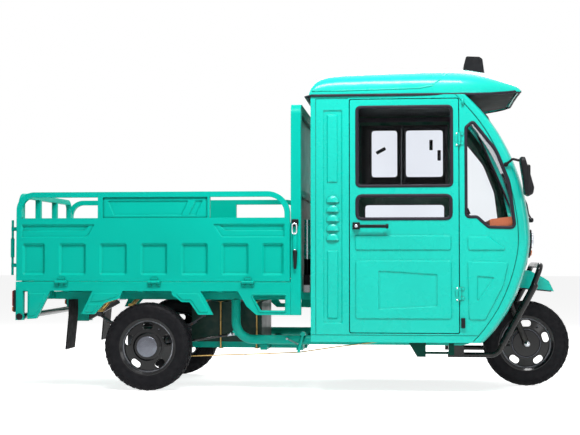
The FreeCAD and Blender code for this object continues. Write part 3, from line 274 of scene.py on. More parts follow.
def rim_finish(name, axle_x):
    """Black enamelled steel wheel with a pale metal ring at the tyre seat, a painted highlight of the rim's
    lip.
    """
    made = Finish(name)
    across = made.math("SUBTRACT", made.axis("X"), axle_x)
    high = made.math("SUBTRACT", made.axis("Z"), TYRE_RADIUS * MM)
    radius = made.math("SQRT", made.math("ADD", made.math("MULTIPLY", across, across),
                                         made.math("MULTIPLY", high, high)))
    above = made.math("GREATER_THAN", radius, LIP_HIGHLIGHT_RING[0] * MM)
    below = made.math("LESS_THAN", radius, LIP_HIGHLIGHT_RING[1] * MM)
    ring = made.math("MULTIPLY", above, below)
    enamel = made.drift(linear(10, 10, 13), 0.2, 12.0)
    # Painted highlight: the ring round the tyre seat is coloured pale and half metallic all round, for the
    # light on the rim's lip.
    bright = made.drift(linear(186, 188, 196), 0.1, 20.0)
    made.colour(made.mix(ring, enamel, bright))
    made.join(made.math("MULTIPLY", ring, 0.5), made.shader.inputs["Metallic"])
    made.rough(0.16, 0.05, 24.0)
    made.relief(made.noise(300.0, 2.0), 0.00004, 0.0015)
    made.set(Coat_Weight=0.2, Coat_Roughness=0.06, Specular_IOR_Level=0.25)
    return made.material


def tyre_finish(name):
    made = Finish(name)
    dusty = made.ramp(made.noise(26.0, 5.0), 0.45, 0.8, 0.0, 0.35)
    made.colour(made.mix(dusty, linear(12, 12, 16), linear(44, 42, 44)))
    made.rough(0.62, 0.1, 40.0)
    made.relief(made.noise(700.0, 3.0), 0.00015)
    made.set(Specular_IOR_Level=0.15)
    return made.material


def vinyl(name, colour):
    """Seat cover: pebbled vinyl."""
    made = Finish(name)
    made.colour(made.drift(colour, 0.15, 8.0))
    made.rough(0.5, 0.08, 20.0)
    cells = made.node("ShaderNodeTexVoronoi", feature="DISTANCE_TO_EDGE")
    cells.inputs["Scale"].default_value = 260.0
    made.join(made.place, cells.inputs["Vector"])
    made.relief(cells.outputs["Distance"], 0.0006)
    made.set(Sheen_Weight=0.15)
    return made.material


LOOKS = {
    "cab_outer": paint("cab_paint", TURQUOISE),
    "cab_shell": paint("cab_shell_paint", TURQUOISE, inner=INNER_GREEN_AND_SHADE, inner_from=INNER_SKIN),
    "cab_nose": paint("cab_nose_paint", TURQUOISE, inner=INNER_GREEN_AND_SHADE),
    "bed": paint("bed_paint", linear(0, 186, 167), rough=0.4, coat=0.04, shine=0.1, dust=0.12),
    "black": paint("black_paint", linear(12, 13, 16), rough=0.2, coat=0.25, shine=0.2, dust=0.15),
    "battery": paint("battery_paint", linear(14, 52, 46), rough=0.42, coat=0.1, shine=0.15, dust=0.2),
    "green_under": paint("under_roof_paint", linear(10, 70, 58), rough=0.5, coat=0.0, shine=0.1),
    "roof_under": paint("roof_lining_paint", linear(10, 26, 24), rough=0.6, coat=0.0, shine=0.05),
    "seam": plastic("panel_joint", linear(6, 74, 62), rough=0.6),
    "rubber": plastic("seal_rubber", linear(36, 32, 42), rough=0.5),
    "black_plastic": plastic("black_plastic", linear(14, 14, 18), rough=0.38),
    "soft_rubber": plastic("flap_rubber", linear(16, 16, 18), rough=0.6, grain=300.0, depth=0.0003,
                           shine=0.1),
    "dash": plastic("dash_plastic", linear(150, 78, 48), rough=0.5),
    "chrome": metal("chrome", linear(205, 208, 214), 0.12),
    "steel": metal("plated_steel", linear(160, 164, 170), 0.3, streak=(1, 1, 8)),
    "zinc": metal("yellow_zinc", linear(186, 152, 92), 0.34, rust=linear(120, 70, 34), rust_share=0.04),
    "iron": metal("cast_iron", linear(64, 66, 70), 0.55, rust=linear(92, 62, 44), rust_share=0.0),
    "unit": banded("hydraulic_unit_metal", [(0, linear(120, 124, 126)), (610, linear(16, 16, 18)),
                                           (760, linear(190, 194, 200))]),
    "rear_rim": rim_finish("rear_wheel_enamel", AXLE_X),
    "front_rim": rim_finish("front_wheel_enamel", AXLE_X + WHEELBASE * MM),
    "tyre": tyre_finish("tyre_rubber"),
    "glass": glass("clear_glass", (0.93, 0.95, 0.97, 1.0)),
    "door_glass": glass("door_glass", (0.9, 0.92, 0.96, 1.0)),
    "vinyl": vinyl("seat_vinyl", linear(34, 34, 38)),
    "mirror": metal("mirror_face", linear(220, 224, 228), 0.04),
    "wheel_bright": metal("wheel_cap_satin", linear(104, 106, 114), 0.22),
    "lamp_glass": metal("lamp_reflector", linear(214, 220, 228), 0.1),
    "amber_lens": plastic("amber_lens", linear(226, 120, 20), rough=0.18, grain=300.0),
    "red_lens": plastic("red_lens", linear(176, 18, 20), rough=0.18, grain=300.0),
}

NODES_OF_LOOKS = {
    "battery": "battery_box",
    "bed": "bed_floor bed_rail_left bed_rail_right chassis_frame headboard side_gate_left side_gate_right "
           "tailgate",
    "black": "crash_bar front_fork ram_barrel rear_bumper seat_base",
    "black_plastic": "handlebar mirrors roof_lamp",
    "cab_nose": "cab_front",
    "cab_outer": "cab_rear_wall cab_roof front_mudguard",
    "cab_shell": "cab_side_left cab_side_right door_left door_right",
    "chrome": "ram_rod",
    "dash": "dashboard",
    "door_glass": "door_glass_left door_glass_right",
    "front_rim": "front_rim",
    "glass": "cab_windows windscreen",
    "green_under": "cab_floor",
    "iron": "leaf_springs rear_axle",
    "rear_rim": "rear_left_rim rear_right_rim",
    "roof_under": "roof_lining",
    "soft_rubber": "mud_flaps",
    "tyre": "front_tyre rear_left_tyre rear_right_tyre",
    "unit": "hydraulic_unit",
    "vinyl": "seat_backrest seat_cushion",
    "zinc": "hangers",
}


def dress_nodes():
    for look, names in NODES_OF_LOOKS.items():
        for name in names.split():
            materials = NODES[name].data.materials
            materials.clear()
            materials.append(LOOKS[look])


# Mesh building

def placed(name, data):
    """A new object in the scene."""
    made = bpy.data.objects.new(name, data)
    bpy.context.scene.collection.objects.link(made)
    return made


def piece(name, shape, look, body, smooth=True):
    """A finished shape as a named object that rides on a body."""
    mesh = bpy.data.meshes.new(name)
    bmesh.ops.recalc_face_normals(shape, faces=shape.faces)
    shape.to_mesh(mesh)
    shape.free()
    mesh.update()
    for polygon in mesh.polygons:
        polygon.use_smooth = smooth
    made = placed(name, mesh)
    mesh.materials.append(LOOKS[look])
    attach(made, body)
    return made


def add_grid(shape, rows, wrap_rows=False, wrap_columns=False):
    """Quads between rows of points."""
    made = [[shape.verts.new(point) for point in row] for row in rows]
    row_count = len(made) if wrap_rows else len(made) - 1
    width = len(made[0])
    column_count = width if wrap_columns else width - 1
    for i in range(row_count):
        for j in range(column_count):
            corners = [made[i][j], made[i][(j + 1) % width],
                       made[(i + 1) % len(made)][(j + 1) % width], made[(i + 1) % len(made)][j]]
            shape.faces.new(corners)
    return made


def add_block(shape, centre, axes, halves, chamfer):
    """A box with chamfered edges: three axes, three half sizes."""
    part = bmesh.ops.create_cube(shape, size=2.0)["verts"]
    place = Matrix([axis * half for axis, half in zip(axes, halves)]).transposed().to_4x4()
    place.translation = centre
    bmesh.ops.transform(shape, matrix=place, verts=part)
    if chamfer:
        edges = list(dict.fromkeys(edge for vert in part for edge in vert.link_edges))
        bmesh.ops.bevel(shape, geom=edges, offset=chamfer, segments=2, profile=0.6, affect="EDGES")


def circle(centre, side, up, radius, count):
    turns = [math.tau * k / count for k in range(count)]
    return [centre + (side * math.cos(turn) + up * math.sin(turn)) * radius for turn in turns]


THINNEST = 1e-5


def add_turned(shape, centre, axis, profile, count=32):
    """A body of revolution: profile points are (radius, distance along the axis)."""
    axis = axis.normalized()
    across = axis.orthogonal().normalized()
    up = axis.cross(across)
    rows = [circle(centre + axis * along, across, up, max(radius, THINNEST), count)
            for radius, along in profile]
    add_grid(shape, rows, wrap_columns=True)


def ways_along(points, closed):
    """Each point with the way that the line takes there."""
    total = len(points)
    for i, point in enumerate(points):
        before = points[i - 1] if i or closed else point
        after = points[(i + 1) % total] if i < total - 1 or closed else point
        yield point, (after - before).normalized()


def add_tube(shape, points, radius, count, closed=False):
    """A round section carried along points."""
    rows = []
    side = None
    for point, way in ways_along(points, closed):
        side = way.orthogonal() if side is None else side - way * side.dot(way)
        side.normalize()
        rows.append(circle(point, side, way.cross(side), radius, count))
    rings = add_grid(shape, rows, wrap_rows=closed, wrap_columns=True)
    if not closed:
        shape.faces.new(rings[0])
        shape.faces.new(list(reversed(rings[-1])))


def rounded(corners, steps=7):
    """A closed outline of corners (a, b, radius), with each corner as an arc, as 2-D points."""
    made = []
    total = len(corners)
    for i, (a, b, radius) in enumerate(corners):
        here = Vector((a, b))
        back = Vector(corners[i - 1][:2]) - here
        on = Vector(corners[(i + 1) % total][:2]) - here
        half = back.angle(on) / 2
        reach = min(radius / math.tan(half), back.length * 0.49, on.length * 0.49)
        start = here + back.normalized() * reach
        end = here + on.normalized() * reach
        for k in range(steps + 1):
            share = k / steps
            made.append(start * (1 - share) ** 2 + here * 2 * share * (1 - share) + end * share ** 2)
    return made


def box_corners(low_a, low_b, high_a, high_b, radius):
    """The four corners of a box, for rounded."""
    return [(a, b, radius) for a, b in ((low_a, low_b), (high_a, low_b), (high_a, high_b), (low_a, high_b))]


def normals_of(points):
    """Outward normals of a closed 2-D outline that runs counter-clockwise."""
    made = []
    total = len(points)
    for i in range(total):
        way = points[(i + 1) % total] - points[i - 1]
        made.append(Vector((way.y, -way.x)).normalized())
    return made


def add_band(shape, outline, section, place):
    """A moulding round an outline, of a section of points (outward, height).

    place turns a point of the outline and a height to a place on the vehicle."""
    ways = normals_of(outline)
    rows = []
    for point, way in zip(outline, ways):
        rows.append([place(*(point + way * out), height) for out, height in section])
    add_grid(shape, rows, wrap_rows=True, wrap_columns=True)


def inset_rows(outline, place, steps):
    """An outline drawn in by each step (inset, height)."""
    ways = normals_of(outline)
    return [[place(*(point - way * inset), height) for point, way in zip(outline, ways)]
            for inset, height in steps]


def add_dome(shape, outline, place, steps):
    """A pad over an outline: each step is (inset, height), and the last is closed at its middle."""
    made = add_grid(shape, inset_rows(outline, place, steps), wrap_columns=True)
    tip = shape.verts.new(place(*(sum(outline, Vector((0, 0))) / len(outline)), steps[-1][1]))
    count = len(outline)
    for i in range(count):
        shape.faces.new((made[-1][i], made[-1][(i + 1) % count], tip))
    shape.faces.new(list(reversed(made[0])))


def pad(name, outline, place, steps, look, body):
    """A domed pad as a piece of its own."""
    shape = bmesh.new()
    add_dome(shape, outline, place, steps)
    piece(name, shape, look, body)


def add_frame(shape, outer, inner, place, low, high):
    """A flat frame between two outlines of as many points."""
    rows = [[place(*point, height) for point in outline]
            for outline, height in ((outer, low), (outer, high), (inner, high), (inner, low))]
    add_grid(shape, rows, wrap_rows=True, wrap_columns=True)


def add_strip(shape, points, section, closed=False):
    """A section (outward, up) carried along a level path that runs anticlockwise seen from above."""
    rows = []
    for point, way in ways_along(points, closed):
        out = way.cross(Z_WAY).normalized()
        rows.append([point + out * o * MM + Z_WAY * h * MM for o, h in section(out)])
    add_grid(shape, rows, wrap_rows=closed, wrap_columns=True)


TREES = {}


def touch(node, start, way):
    """Where a line first meets a node: the place and the surface's normal, or None and None."""
    if node not in TREES:
        mesh = NODES[node].data
        TREES[node] = BVHTree.FromPolygons([vert.co for vert in mesh.vertices],
                                           [polygon.vertices for polygon in mesh.polygons])
    place, normal, _, _ = TREES[node].ray_cast(start, way)
    if place is not None and normal.dot(way) > 0:
        normal = -normal
    return place, normal


# Window seals

def on_side(side, face):
    """Turns (x, z, height) in millimetres to a place on a side wall's outer face."""
    def place(x, z, height):
        return at(x, side * (face + height), z)
    return place


SEAL_SECTION = [(9, -6), (11, 2), (8, 5), (1, 5.5), (-6, 3), (-7, -18), (2, -18)]
UPPER_PANE = box_corners(1212, 1176, 1742, 1620, 22)
LOWER_PANE = box_corners(1212, 990, 1738, 1117, 30)
QUARTER_LIGHT = [(1826, 1000, 20), (1885, 1000, 30), (1950, 942, 30), (2092, 938, 25), (2060, 1190, 160),
                 (1990, 1370, 200), (1862, 1532, 14), (1826, 1500, 14)]
REAR_LIGHT = box_corners(-380, 1120, 380, 1560, 40)
REAR_WALL_FACE = 947.0
DOOR_GASKET = (box_corners(1153, 334, 1799, 1682, 14), box_corners(1182, 360, 1770, 1653, 14))


def seals():
    for name, side in SIDES.items():
        place = on_side(side, CAB_WALL_FACE)
        shape = bmesh.new()
        for pane in (UPPER_PANE, LOWER_PANE):
            add_band(shape, rounded(pane), SEAL_SECTION, place)
        piece(f"door_seals_{name}", shape, "rubber", f"door_{name}")
        shape = bmesh.new()
        add_band(shape, rounded(QUARTER_LIGHT), SEAL_SECTION, place)
        piece(f"quarter_seal_{name}", shape, "rubber", "chassis")
        shape = bmesh.new()
        outer, inner = (rounded(corners) for corners in DOOR_GASKET)
        add_frame(shape, outer, inner, on_side(side, DOOR_REBATE), 0, 4.5)
        piece(f"door_gasket_{name}", shape, "rubber", "chassis")
    shape = bmesh.new()
    add_band(shape, rounded(REAR_LIGHT), SEAL_SECTION,
             lambda y, z, height: at(REAR_WALL_FACE - height * 0.8, y, z))
    piece("rear_window_seal", shape, "rubber", "chassis")


SCREEN = box_corners(-470, 1010, 470, 1625, 60)
SCREEN_SECTION = [(9, -2), (10, 3), (5, 6), (1.5, 6), (-7, 16), (-9, 12), (-9, -1)]
WIPER_HUB = [(0, 0), (0.014, 0), (0.014, 0.02), (0.008, 0.026), (0, 0.026)]


def on_front(nodes):
    """Turns (y, z, height) to a place on the first of the nodes that is met from the front."""
    def place(y, z, height):
        for node in nodes:
            found, normal = touch(node, at(3000, y, z), -X_WAY)
            if found is not None:
                break
        return found + normal * height * MM
    return place


def screen():
    shape = bmesh.new()
    add_band(shape, rounded(SCREEN, 9), SCREEN_SECTION, on_front(("cab_front", "windscreen")))
    piece("windscreen_seal", shape, "rubber", "chassis")
    shape = bmesh.new()
    pane = on_front(("windscreen", "cab_front"))
    for foot, low, tip, high in ((-250, 1018, -30, 1300), (210, 1018, 400, 1270)):
        blade = [pane(foot + (tip - foot) * k / 8, low + (high - low) * k / 8, 5) for k in range(9)]
        add_tube(shape, blade, 0.004, 8)
        arm = [pane(foot - 8, low - 34, 22), pane(foot, low + 10, 20),
               pane((foot + tip) / 2, (low + high) / 2, 11)]
        add_tube(shape, arm, 0.005, 8)
        add_turned(shape, arm[0] - X_WAY * 0.016, X_WAY, WIPER_HUB, 16)
    piece("wipers", shape, "black_plastic", "chassis")


# Roof trim, seams and creases of the cab

def rim_point(start, way, reach):
    """The lowest place of the roof's outer face near a level, looked for along a line."""
    found = None
    for drop in range(0, 90, 2):
        place, _ = touch("cab_roof", start - Z_WAY * drop * MM, way)
        if place is None or (place - start).length > reach:
            break
        found = place
    return found


def roof_trim():
    right = [rim_point(at(x, -900, 1745), Y_WAY, 0.6) for x in range(950, 2136, 34)]
    front = [rim_point(at(2400, y, 1758), -X_WAY, 0.4) for y in range(-360, 361, 40)]
    left = [Vector((point.x, -point.y, point.z)) for point in reversed(right)]
    rear = [rim_point(at(700, y, 1745), X_WAY, 0.4) for y in range(520, -521, -52)]
    path = [point for point in (*right, *front, *left, *rear) if point is not None]

    def section(out):
        lip = 24 * max(0.0, -out.x) ** 6
        return [(-2, -7), (4 + lip, -7 + lip * 0.2), (7 + lip, -2 + lip * 0.1), (6, 6), (1, 8), (-2, 8)]

    shape = bmesh.new()
    add_strip(shape, path, section, closed=True)
    piece("roof_trim", shape, "rubber", "chassis")


CREASE = [(954, 1716), (1130, 1719), (1300, 1722), (1480, 1726), (1567, 1729), (1629, 1740),
          (1679, 1774), (1715, 1810), (1752, 1846)]
TOP_SEAM = [(976, 1673), (1160, 1673)]


def seams():
    """Pressed lines of the cab's sides: the roof's crease, and the joints between panels."""
    for name, side in SIDES.items():
        shape = bmesh.new()
        points = []
        for x, z in CREASE:
            place, normal = touch("cab_roof", at(x, side * 900, z), -Y_WAY * side)
            points.append(place)
        add_tube(shape, points, 0.0042, 8)
        piece(f"roof_crease_{name}", shape, "cab_outer", "chassis")
        shape = bmesh.new()
        nose = []
        for z in range(300, 1661, 34):
            place, _ = touch(f"cab_side_{name}", at(3000, side * 548.5, z), -X_WAY)
            nose.append(Vector((place.x, at(0, side * CAB_WALL_FACE, 0).y, place.z)))
        add_tube(shape, nose, 0.0016, 6)
        sill = nose[1].x / MM - AXLE_X / MM
        for line in ([(951, 331), (sill, 331)], [(976, 334), (976, 1673)], TOP_SEAM):
            add_tube(shape, [at(x, side * CAB_WALL_FACE, z) for x, z in line], 0.0014, 6)
        piece(f"panel_seams_{name}", shape, "seam", "chassis")


# Door furniture

HANDLE_BOSS = [(0, 0), (0.017, 0), (0.016, 0.009), (0.011, 0.013), (0.011, 0.024), (0, 0.024)]
LOCK_BARREL = [(0, 0), (0.009, 0), (0.009, 0.007), (0.006, 0.008), (0, 0.006)]


def door_handles():
    for name, side in SIDES.items():
        out = Y_WAY * side
        axes = (X_WAY, Z_WAY, out)
        place = on_side(side, CAB_WALL_FACE)
        shape = bmesh.new()
        add_block(shape, place(1206, 948, 5), axes, (0.021, 0.020, 0.006), 0.003)
        add_turned(shape, place(1207, 947, 9), out, HANDLE_BOSS, 20)
        add_block(shape, place(1286, 945, 33), axes, (0.099, 0.0095, 0.006), 0.004)
        add_block(shape, place(1381, 945, 30), axes, (0.008, 0.013, 0.008), 0.004)
        piece(f"door_handle_{name}", shape, "black_plastic", f"door_{name}")
        shape = bmesh.new()
        add_turned(shape, place(1207, 947, 33), out, LOCK_BARREL, 16)
        piece(f"door_lock_{name}", shape, "chrome", f"door_{name}")


SLIDER_FACE = 514.0


def sliders():
    """The left door's upper light has two sliding panes in black frames, each with its catch."""
    def place(x, z, height):
        return at(x, SLIDER_FACE - height, z)
    shape = bmesh.new()
    for rear, front, light_rear, light_front in ((1196, 1457, 1262, 1428), (1457.5, 1756, 1485, 1724)):
        outer = rounded(box_corners(rear, 1166, front, 1630, 3))
        light = rounded(box_corners(light_rear, 1292, light_front, 1596, 22))
        add_frame(shape, outer, light, place, 0, 7)
    piece("window_frames_left", shape, "black_plastic", "door_left")
    shape = bmesh.new()
    for x, z, lean in ((1322, 1465, 0.5), (1648, 1500, 1.57), (1700, 1432, 1.57)):
        way = Vector((math.cos(lean), 0, math.sin(lean)))
        add_block(shape, place(x, z, 4), (way, Y_WAY, way.cross(Y_WAY)), (0.034, 0.008, 0.011), 0.004)
    piece("window_catches_left", shape, "black_plastic", "door_left")


MIRROR_Y = 645.3
MIRROR_FACE_X = 2141.7
MIRROR_Z = 1200.0
MIRROR_GLASS = rounded(box_corners(-46, -70, 46, 70, 16))
MIRROR_PAD = [(0, -1), (0, 0.6), (2, 1.6), (12, 2.2)]


def mirror_faces():
    for name, side in SIDES.items():
        def place(y, z, height):
            return at(MIRROR_FACE_X - height, side * (MIRROR_Y + y), MIRROR_Z + z)
        pad(f"mirror_face_{name}", MIRROR_GLASS, place, MIRROR_PAD, "mirror", "chassis")


MIRROR_BACK = [(2117, 1324, 6), (2139, 1324, 10), (2169, 1225, 60), (2189, 1153, 24), (2183, 1118, 20),
               (2158, 1106, 12), (2136, 1118, 12), (2130, 1187, 60), (2111, 1308, 10)]
MIRROR_SHARES = ((-54, 0.5), (-53, 0.8), (-46, 0.95), (-30, 1.0), (30, 1.0), (46, 0.95), (53, 0.8), (54, 0.5))


def mirror_backs():
    """Housings that swell forward at the foot, over the mirrors' plain heads."""
    for name, side in SIDES.items():
        outline = rounded(MIRROR_BACK, 5)
        middle = sum(outline, Vector((0, 0))) / len(outline)
        rows = []
        for across, share in MIRROR_SHARES:
            scaled = [middle + (point - middle) * share for point in outline]
            rows.append([at(point.x, side * (MIRROR_Y + across), point.y) for point in scaled])
        shape = bmesh.new()
        rings = add_grid(shape, rows, wrap_columns=True)
        shape.faces.new(rings[0])
        shape.faces.new(list(reversed(rings[-1])))
        piece(f"mirror_back_{name}", shape, "black_plastic", "chassis")


# Fittings of the bed

LATCH_GRIP = [(0, 0), (0.006, 0), (0.009, 0.010), (0.012, 0.060), (0.0135, 0.100), (0.011, 0.107), (0, 0.107)]
LATCH_PIN = [(0, 0), (0.006, 0), (0.006, 0.019), (0, 0.019)]


def bed_latches():
    """Over-centre latches on the headboard's posts, which hold the side gates' front ends."""
    for name, side in SIDES.items():
        out = Y_WAY * side
        axes = (X_WAY, Z_WAY, out)
        place = on_side(side, BED_FACE)
        shape = bmesh.new()
        add_block(shape, place(858, 966, 5), axes, (0.020, 0.021, 0.005), 0.004)
        add_turned(shape, place(859, 704, 15), Z_WAY, LATCH_GRIP, 16)
        piece(f"bed_latch_grip_{name}", shape, "black_plastic", "bed")
        shape = bmesh.new()
        ring = rounded(box_corners(843, 904, 868, 962, 12), 5)
        add_tube(shape, [place(*point, 17) for point in ring], 0.0045, 8, closed=True)
        for z in (810, 906):
            add_turned(shape, place(858, z, 4), out, LATCH_PIN, 12)
        piece(f"bed_latch_loop_{name}", shape, "chrome", "bed")
        shape = bmesh.new()
        add_block(shape, place(858, 858, 13), axes, (0.011, 0.052, 0.005), 0.003)
        piece(f"bed_latch_arm_{name}", shape, "bed", "bed")


BUMPER_CAP = [(0, 0), (0.020, 0), (0.020, 0.004), (0.014, 0.007), (0, 0.008)]
LENS_STEPS = [(0, -1), (0, 5), (3, 8), (10, 9)]
REAR_LAMP_Y = 540.0


def rear_lamps():
    """Lamps on the ends of the bed's side rails, and the bumper's end caps."""
    for name, side in SIDES.items():
        shape = bmesh.new()
        add_block(shape, at(-779, side * REAR_LAMP_Y, 516), AXES, (0.006, 0.025, 0.064), 0.004)
        add_turned(shape, at(-745, side * 571.2, 426), Y_WAY * side, BUMPER_CAP, 24)
        piece(f"rear_lamp_holder_{name}", shape, "black_plastic", "bed")

        def place(y, z, height):
            return at(-785 - height, side * (REAR_LAMP_Y + y), z)
        for part, look, low, high in (("stop", "red_lens", 486, 576), ("turn", "amber_lens", 456, 484)):
            pad(f"rear_{part}_lens_{name}", rounded(box_corners(-20, low, 20, high, 6), 4), place,
                LENS_STEPS, look, "bed")


SKIRT_PADS = [
    [(-698, 426, 8), (-662, 430, 8), (-644, 454, 10), (-592, 562, 8), (-698, 562, 8)],
    [(-336, 512, 8), (-256, 517, 10), (-174, 542, 10), (-160, 564, 8), (-306, 564, 8)],
    [(-368, 452, 8), (-316, 452, 8), (-270, 502, 8), (-343, 502, 8)],
    [(206, 525, 10), (258, 525, 10), (306, 454, 8), (362, 454, 8), (300, 564, 8), (166, 564, 8)],
]
SKIRT_WINDOW = [(655, 460, 10), (807, 460, 10), (807, 559, 10), (604, 559, 10)]


def skirts():
    """Pressed pads on the bed's skirts, and a rolled rim round the front skirt's opening."""
    for name, side in SIDES.items():
        place = on_side(side, BED_FACE)
        shape = bmesh.new()
        for corners in SKIRT_PADS:
            outline = rounded(corners, 2)
            rows = inset_rows(outline, place, ((0, -1), (0, 0.5), (4, 4)))
            rings = add_grid(shape, rows, wrap_columns=True)
            shape.faces.new(rings[-1])
            shape.faces.new(list(reversed(rings[0])))
        add_tube(shape, [place(*point, 1) for point in rounded(SKIRT_WINDOW, 5)], 0.0042, 8, closed=True)
        piece(f"skirt_pads_{name}", shape, "bed", "bed", smooth=False)


# Running gear

TORQUE_ROD_Y = 408.0
ROD_EYE = [(0, 0), (0.006, 0), (0.006, 0.004), (0.011, 0.005), (0.011, 0.023), (0.006, 0.024),
           (0.006, 0.028), (0, 0.028)]


def struts():
    """Torque rods from the axle to eyes on the main tubes."""
    for name, side in SIDES.items():
        y = side * TORQUE_ROD_Y
        shape = bmesh.new()
        add_tube(shape, [at(36, y, 251), at(470, y, 321)], 0.0078, 12)
        piece(f"torque_rod_{name}", shape, "black", "chassis")
        shape = bmesh.new()
        add_tube(shape, [at(448, y, 317.5), at(478, y, 322)], 0.0085, 12)
        for x, z in ((487, 324), (32, 250)):
            add_turned(shape, at(x, y - 14, z), Y_WAY, ROD_EYE, 18)
        piece(f"torque_rod_eyes_{name}", shape, "steel", "chassis")
        shape = bmesh.new()
        add_block(shape, at(497, y + side * 7, 330), AXES, (0.017, 0.003, 0.014), 0.002)
        piece(f"torque_rod_lug_{name}", shape, "bed", "chassis")


SPRING_STEPS = 120


def brake_rod():
    """The rod from the axle's arm over the lever to the pedal, with its return spring."""
    shape = bmesh.new()
    for line in ([(867, -438, 222), (560, -432, 208), (245, -426, 196), (56, -424, 187)],
                 [(1460, -440, 303), (1090, -440, 256), (867, -438, 222)]):
        add_tube(shape, [at(*place) for place in line], 0.0032, 8)
    piece("brake_rod", shape, "zinc", "chassis")
    shape = bmesh.new()
    arm_axes = (Vector((0.55, 0, -0.84)), Y_WAY, Vector((0.84, 0, 0.55)))
    add_block(shape, at(40, -424, 214), arm_axes, (0.036, 0.003, 0.010), 0.002)
    start, end = at(800, -431, 300), at(866, -431, 268)
    way = (end - start).normalized()
    up = way.cross(Y_WAY)
    coil = []
    for k in range(SPRING_STEPS + 1):
        turn = k * 0.7
        middle = start + (end - start) * k / SPRING_STEPS
        coil.append(middle + (Y_WAY * math.cos(turn) + up * math.sin(turn)) * 0.0045)
    add_tube(shape, coil, 0.0011, 5)
    add_turned(shape, at(800, -440, 300), Y_WAY, [(0, 0), (0.007, 0), (0.007, 0.015), (0, 0.015)], 6)
    piece("brake_spring", shape, "steel", "chassis")


def mudguard_lip():
    shape = bmesh.new()
    for side in SIDES.values():
        path = []
        for k in range(20):
            place, _ = touch("front_mudguard", at(2118 + k * 12, side * 71, 400), Z_WAY)
            if place is not None:
                path.append(place + Y_WAY * side * 0.002)
        add_tube(shape, path, 0.0042, 8)
    piece("mudguard_lip", shape, "rubber", "steering")


# Lamps and fittings of the nose

# Each headlamp in its dark bezel, with an amber turn lamp under it.
NOSE_LAMPS = (
    ("headlamp_bezel", rounded(box_corners(296, 768, 462, 928, 44), 9),
     [(0, -2), (0, 6), (6, 9), (14, 9.5)], "black_plastic", "black_plastic"),
    ("headlamp_lens", rounded(box_corners(314, 822, 446, 914, 34), 9),
     [(0, 8), (2, 14), (10, 18), (24, 20)], "lamp_glass", "bright_steel"),
    ("turn_lens", rounded(box_corners(316, 780, 444, 812, 12), 6),
     [(0, 8), (1, 13), (6, 15)], "amber_lens", "black_plastic"),
)
GRILLE_PAD = [(0, -2), (0, 4), (4, 6), (10, 6)]
PLATE_PAD = [(0, 0), (0, 5), (2, 6), (6, 6)]


def nose():
    front = on_front(("cab_front", "windscreen"))
    for name, side in SIDES.items():
        def place(y, z, height):
            return front(side * y, z, height)
        for part, outline, steps, look, slot in NOSE_LAMPS:
            pad(f"{part}_{name}", outline, place, steps, look, "chassis")
    shape = bmesh.new()
    add_dome(shape, rounded(box_corners(-190, 838, 190, 912, 26), 8), front, GRILLE_PAD)
    for z in (856, 875, 894):
        add_tube(shape, [front(y, z, 8) for y in range(-168, 169, 28)], 0.0035, 8)
    piece("nose_grille", shape, "black_plastic", "chassis")
    pad("number_plate_blank", rounded(box_corners(-110, 752, 110, 822, 8), 4), front, PLATE_PAD,
        "steel", "chassis")


# Wheels: rolled lips round the holes, cap inlays, valves and axle nuts

WHEELS = (("front", "front_rim", "front_wheel", WHEELBASE, 0, (-1, 1)),
          ("rear_right", "rear_right_rim", "rear_wheel_right", 0, -REAR_WHEEL_Y, (-1,)),
          ("rear_left", "rear_left_rim", "rear_wheel_left", 0, REAR_WHEEL_Y, (1,)))
HOLES = 5
HOLE_LIP = rounded(box_corners(-32.5, 97.5, 32.5, 140.5, 20), 6)
VALVE_RING = 118.0
VALVE_TURN = 0.63
VALVE = [(0, -0.004), (0.0045, -0.004), (0.0045, 0.02), (0.003, 0.026), (0, 0.026)]
CAP_DISC = [(0, -0.002), (0.060, -0.002), (0.060, 0.0015), (0.057, 0.003), (0.036, 0.0045), (0, 0.005)]
HUB_RING = 84.0
HUB_RING_STEPS = 48
AXLE_NUT = [(0, 0), (0.017, 0), (0.017, 0.004), (0.012, 0.005), (0.012, 0.015), (0.008, 0.017), (0, 0.022)]


def wheel_trim():
    for name, node, body, x, y, faces in WHEELS:
        lips = bmesh.new()
        bright = bmesh.new()
        for face in faces:
            def on_disc(a, b, height):
                found, _ = touch(node, at(x + a, y + face * 200, TYRE_RADIUS + b), -Y_WAY * face)
                return found + Y_WAY * face * height * MM
            for k in range(HOLES):
                turn = math.tau * k / HOLES
                ring = []
                for point in HOLE_LIP:
                    a = point.x * math.cos(turn) + point.y * math.sin(turn)
                    b = point.y * math.cos(turn) - point.x * math.sin(turn)
                    ring.append(on_disc(a, b, 0.5))
                add_tube(lips, ring, 0.0022, 6, closed=True)
            foot = on_disc(VALVE_RING * math.sin(VALVE_TURN), VALVE_RING * math.cos(VALVE_TURN), 0)
            add_turned(bright, foot, Y_WAY * face + Z_WAY * 0.3, VALVE, 10)
            if name != "front":
                add_turned(bright, on_disc(0, 0, 0), Y_WAY * face, CAP_DISC, 40)
            else:
                turns = [math.tau * k / HUB_RING_STEPS for k in range(HUB_RING_STEPS)]
                ring = [on_disc(HUB_RING * math.cos(turn), HUB_RING * math.sin(turn), 1) for turn in turns]
                add_tube(bright, ring, 0.002, 6, closed=True)
        piece(f"wheel_lips_{name}", lips, "black", body)
        piece(f"wheel_bright_{name}", bright, "wheel_bright", body)
    shape = bmesh.new()
    for side in SIDES.values():
        add_turned(shape, at(WHEELBASE, side * 96, TYRE_RADIUS), Y_WAY * side, AXLE_NUT, 12)
    piece("front_axle_nuts", shape, "chrome", "steering")


# Door hinges

SCREW_HEAD = [(0, 0), (0.006, 0), (0.0045, 0.003), (0, 0.0035)]
TOP_PIN = [(0, 0), (0.008, 0), (0.008, 0.038), (0, 0.038)]


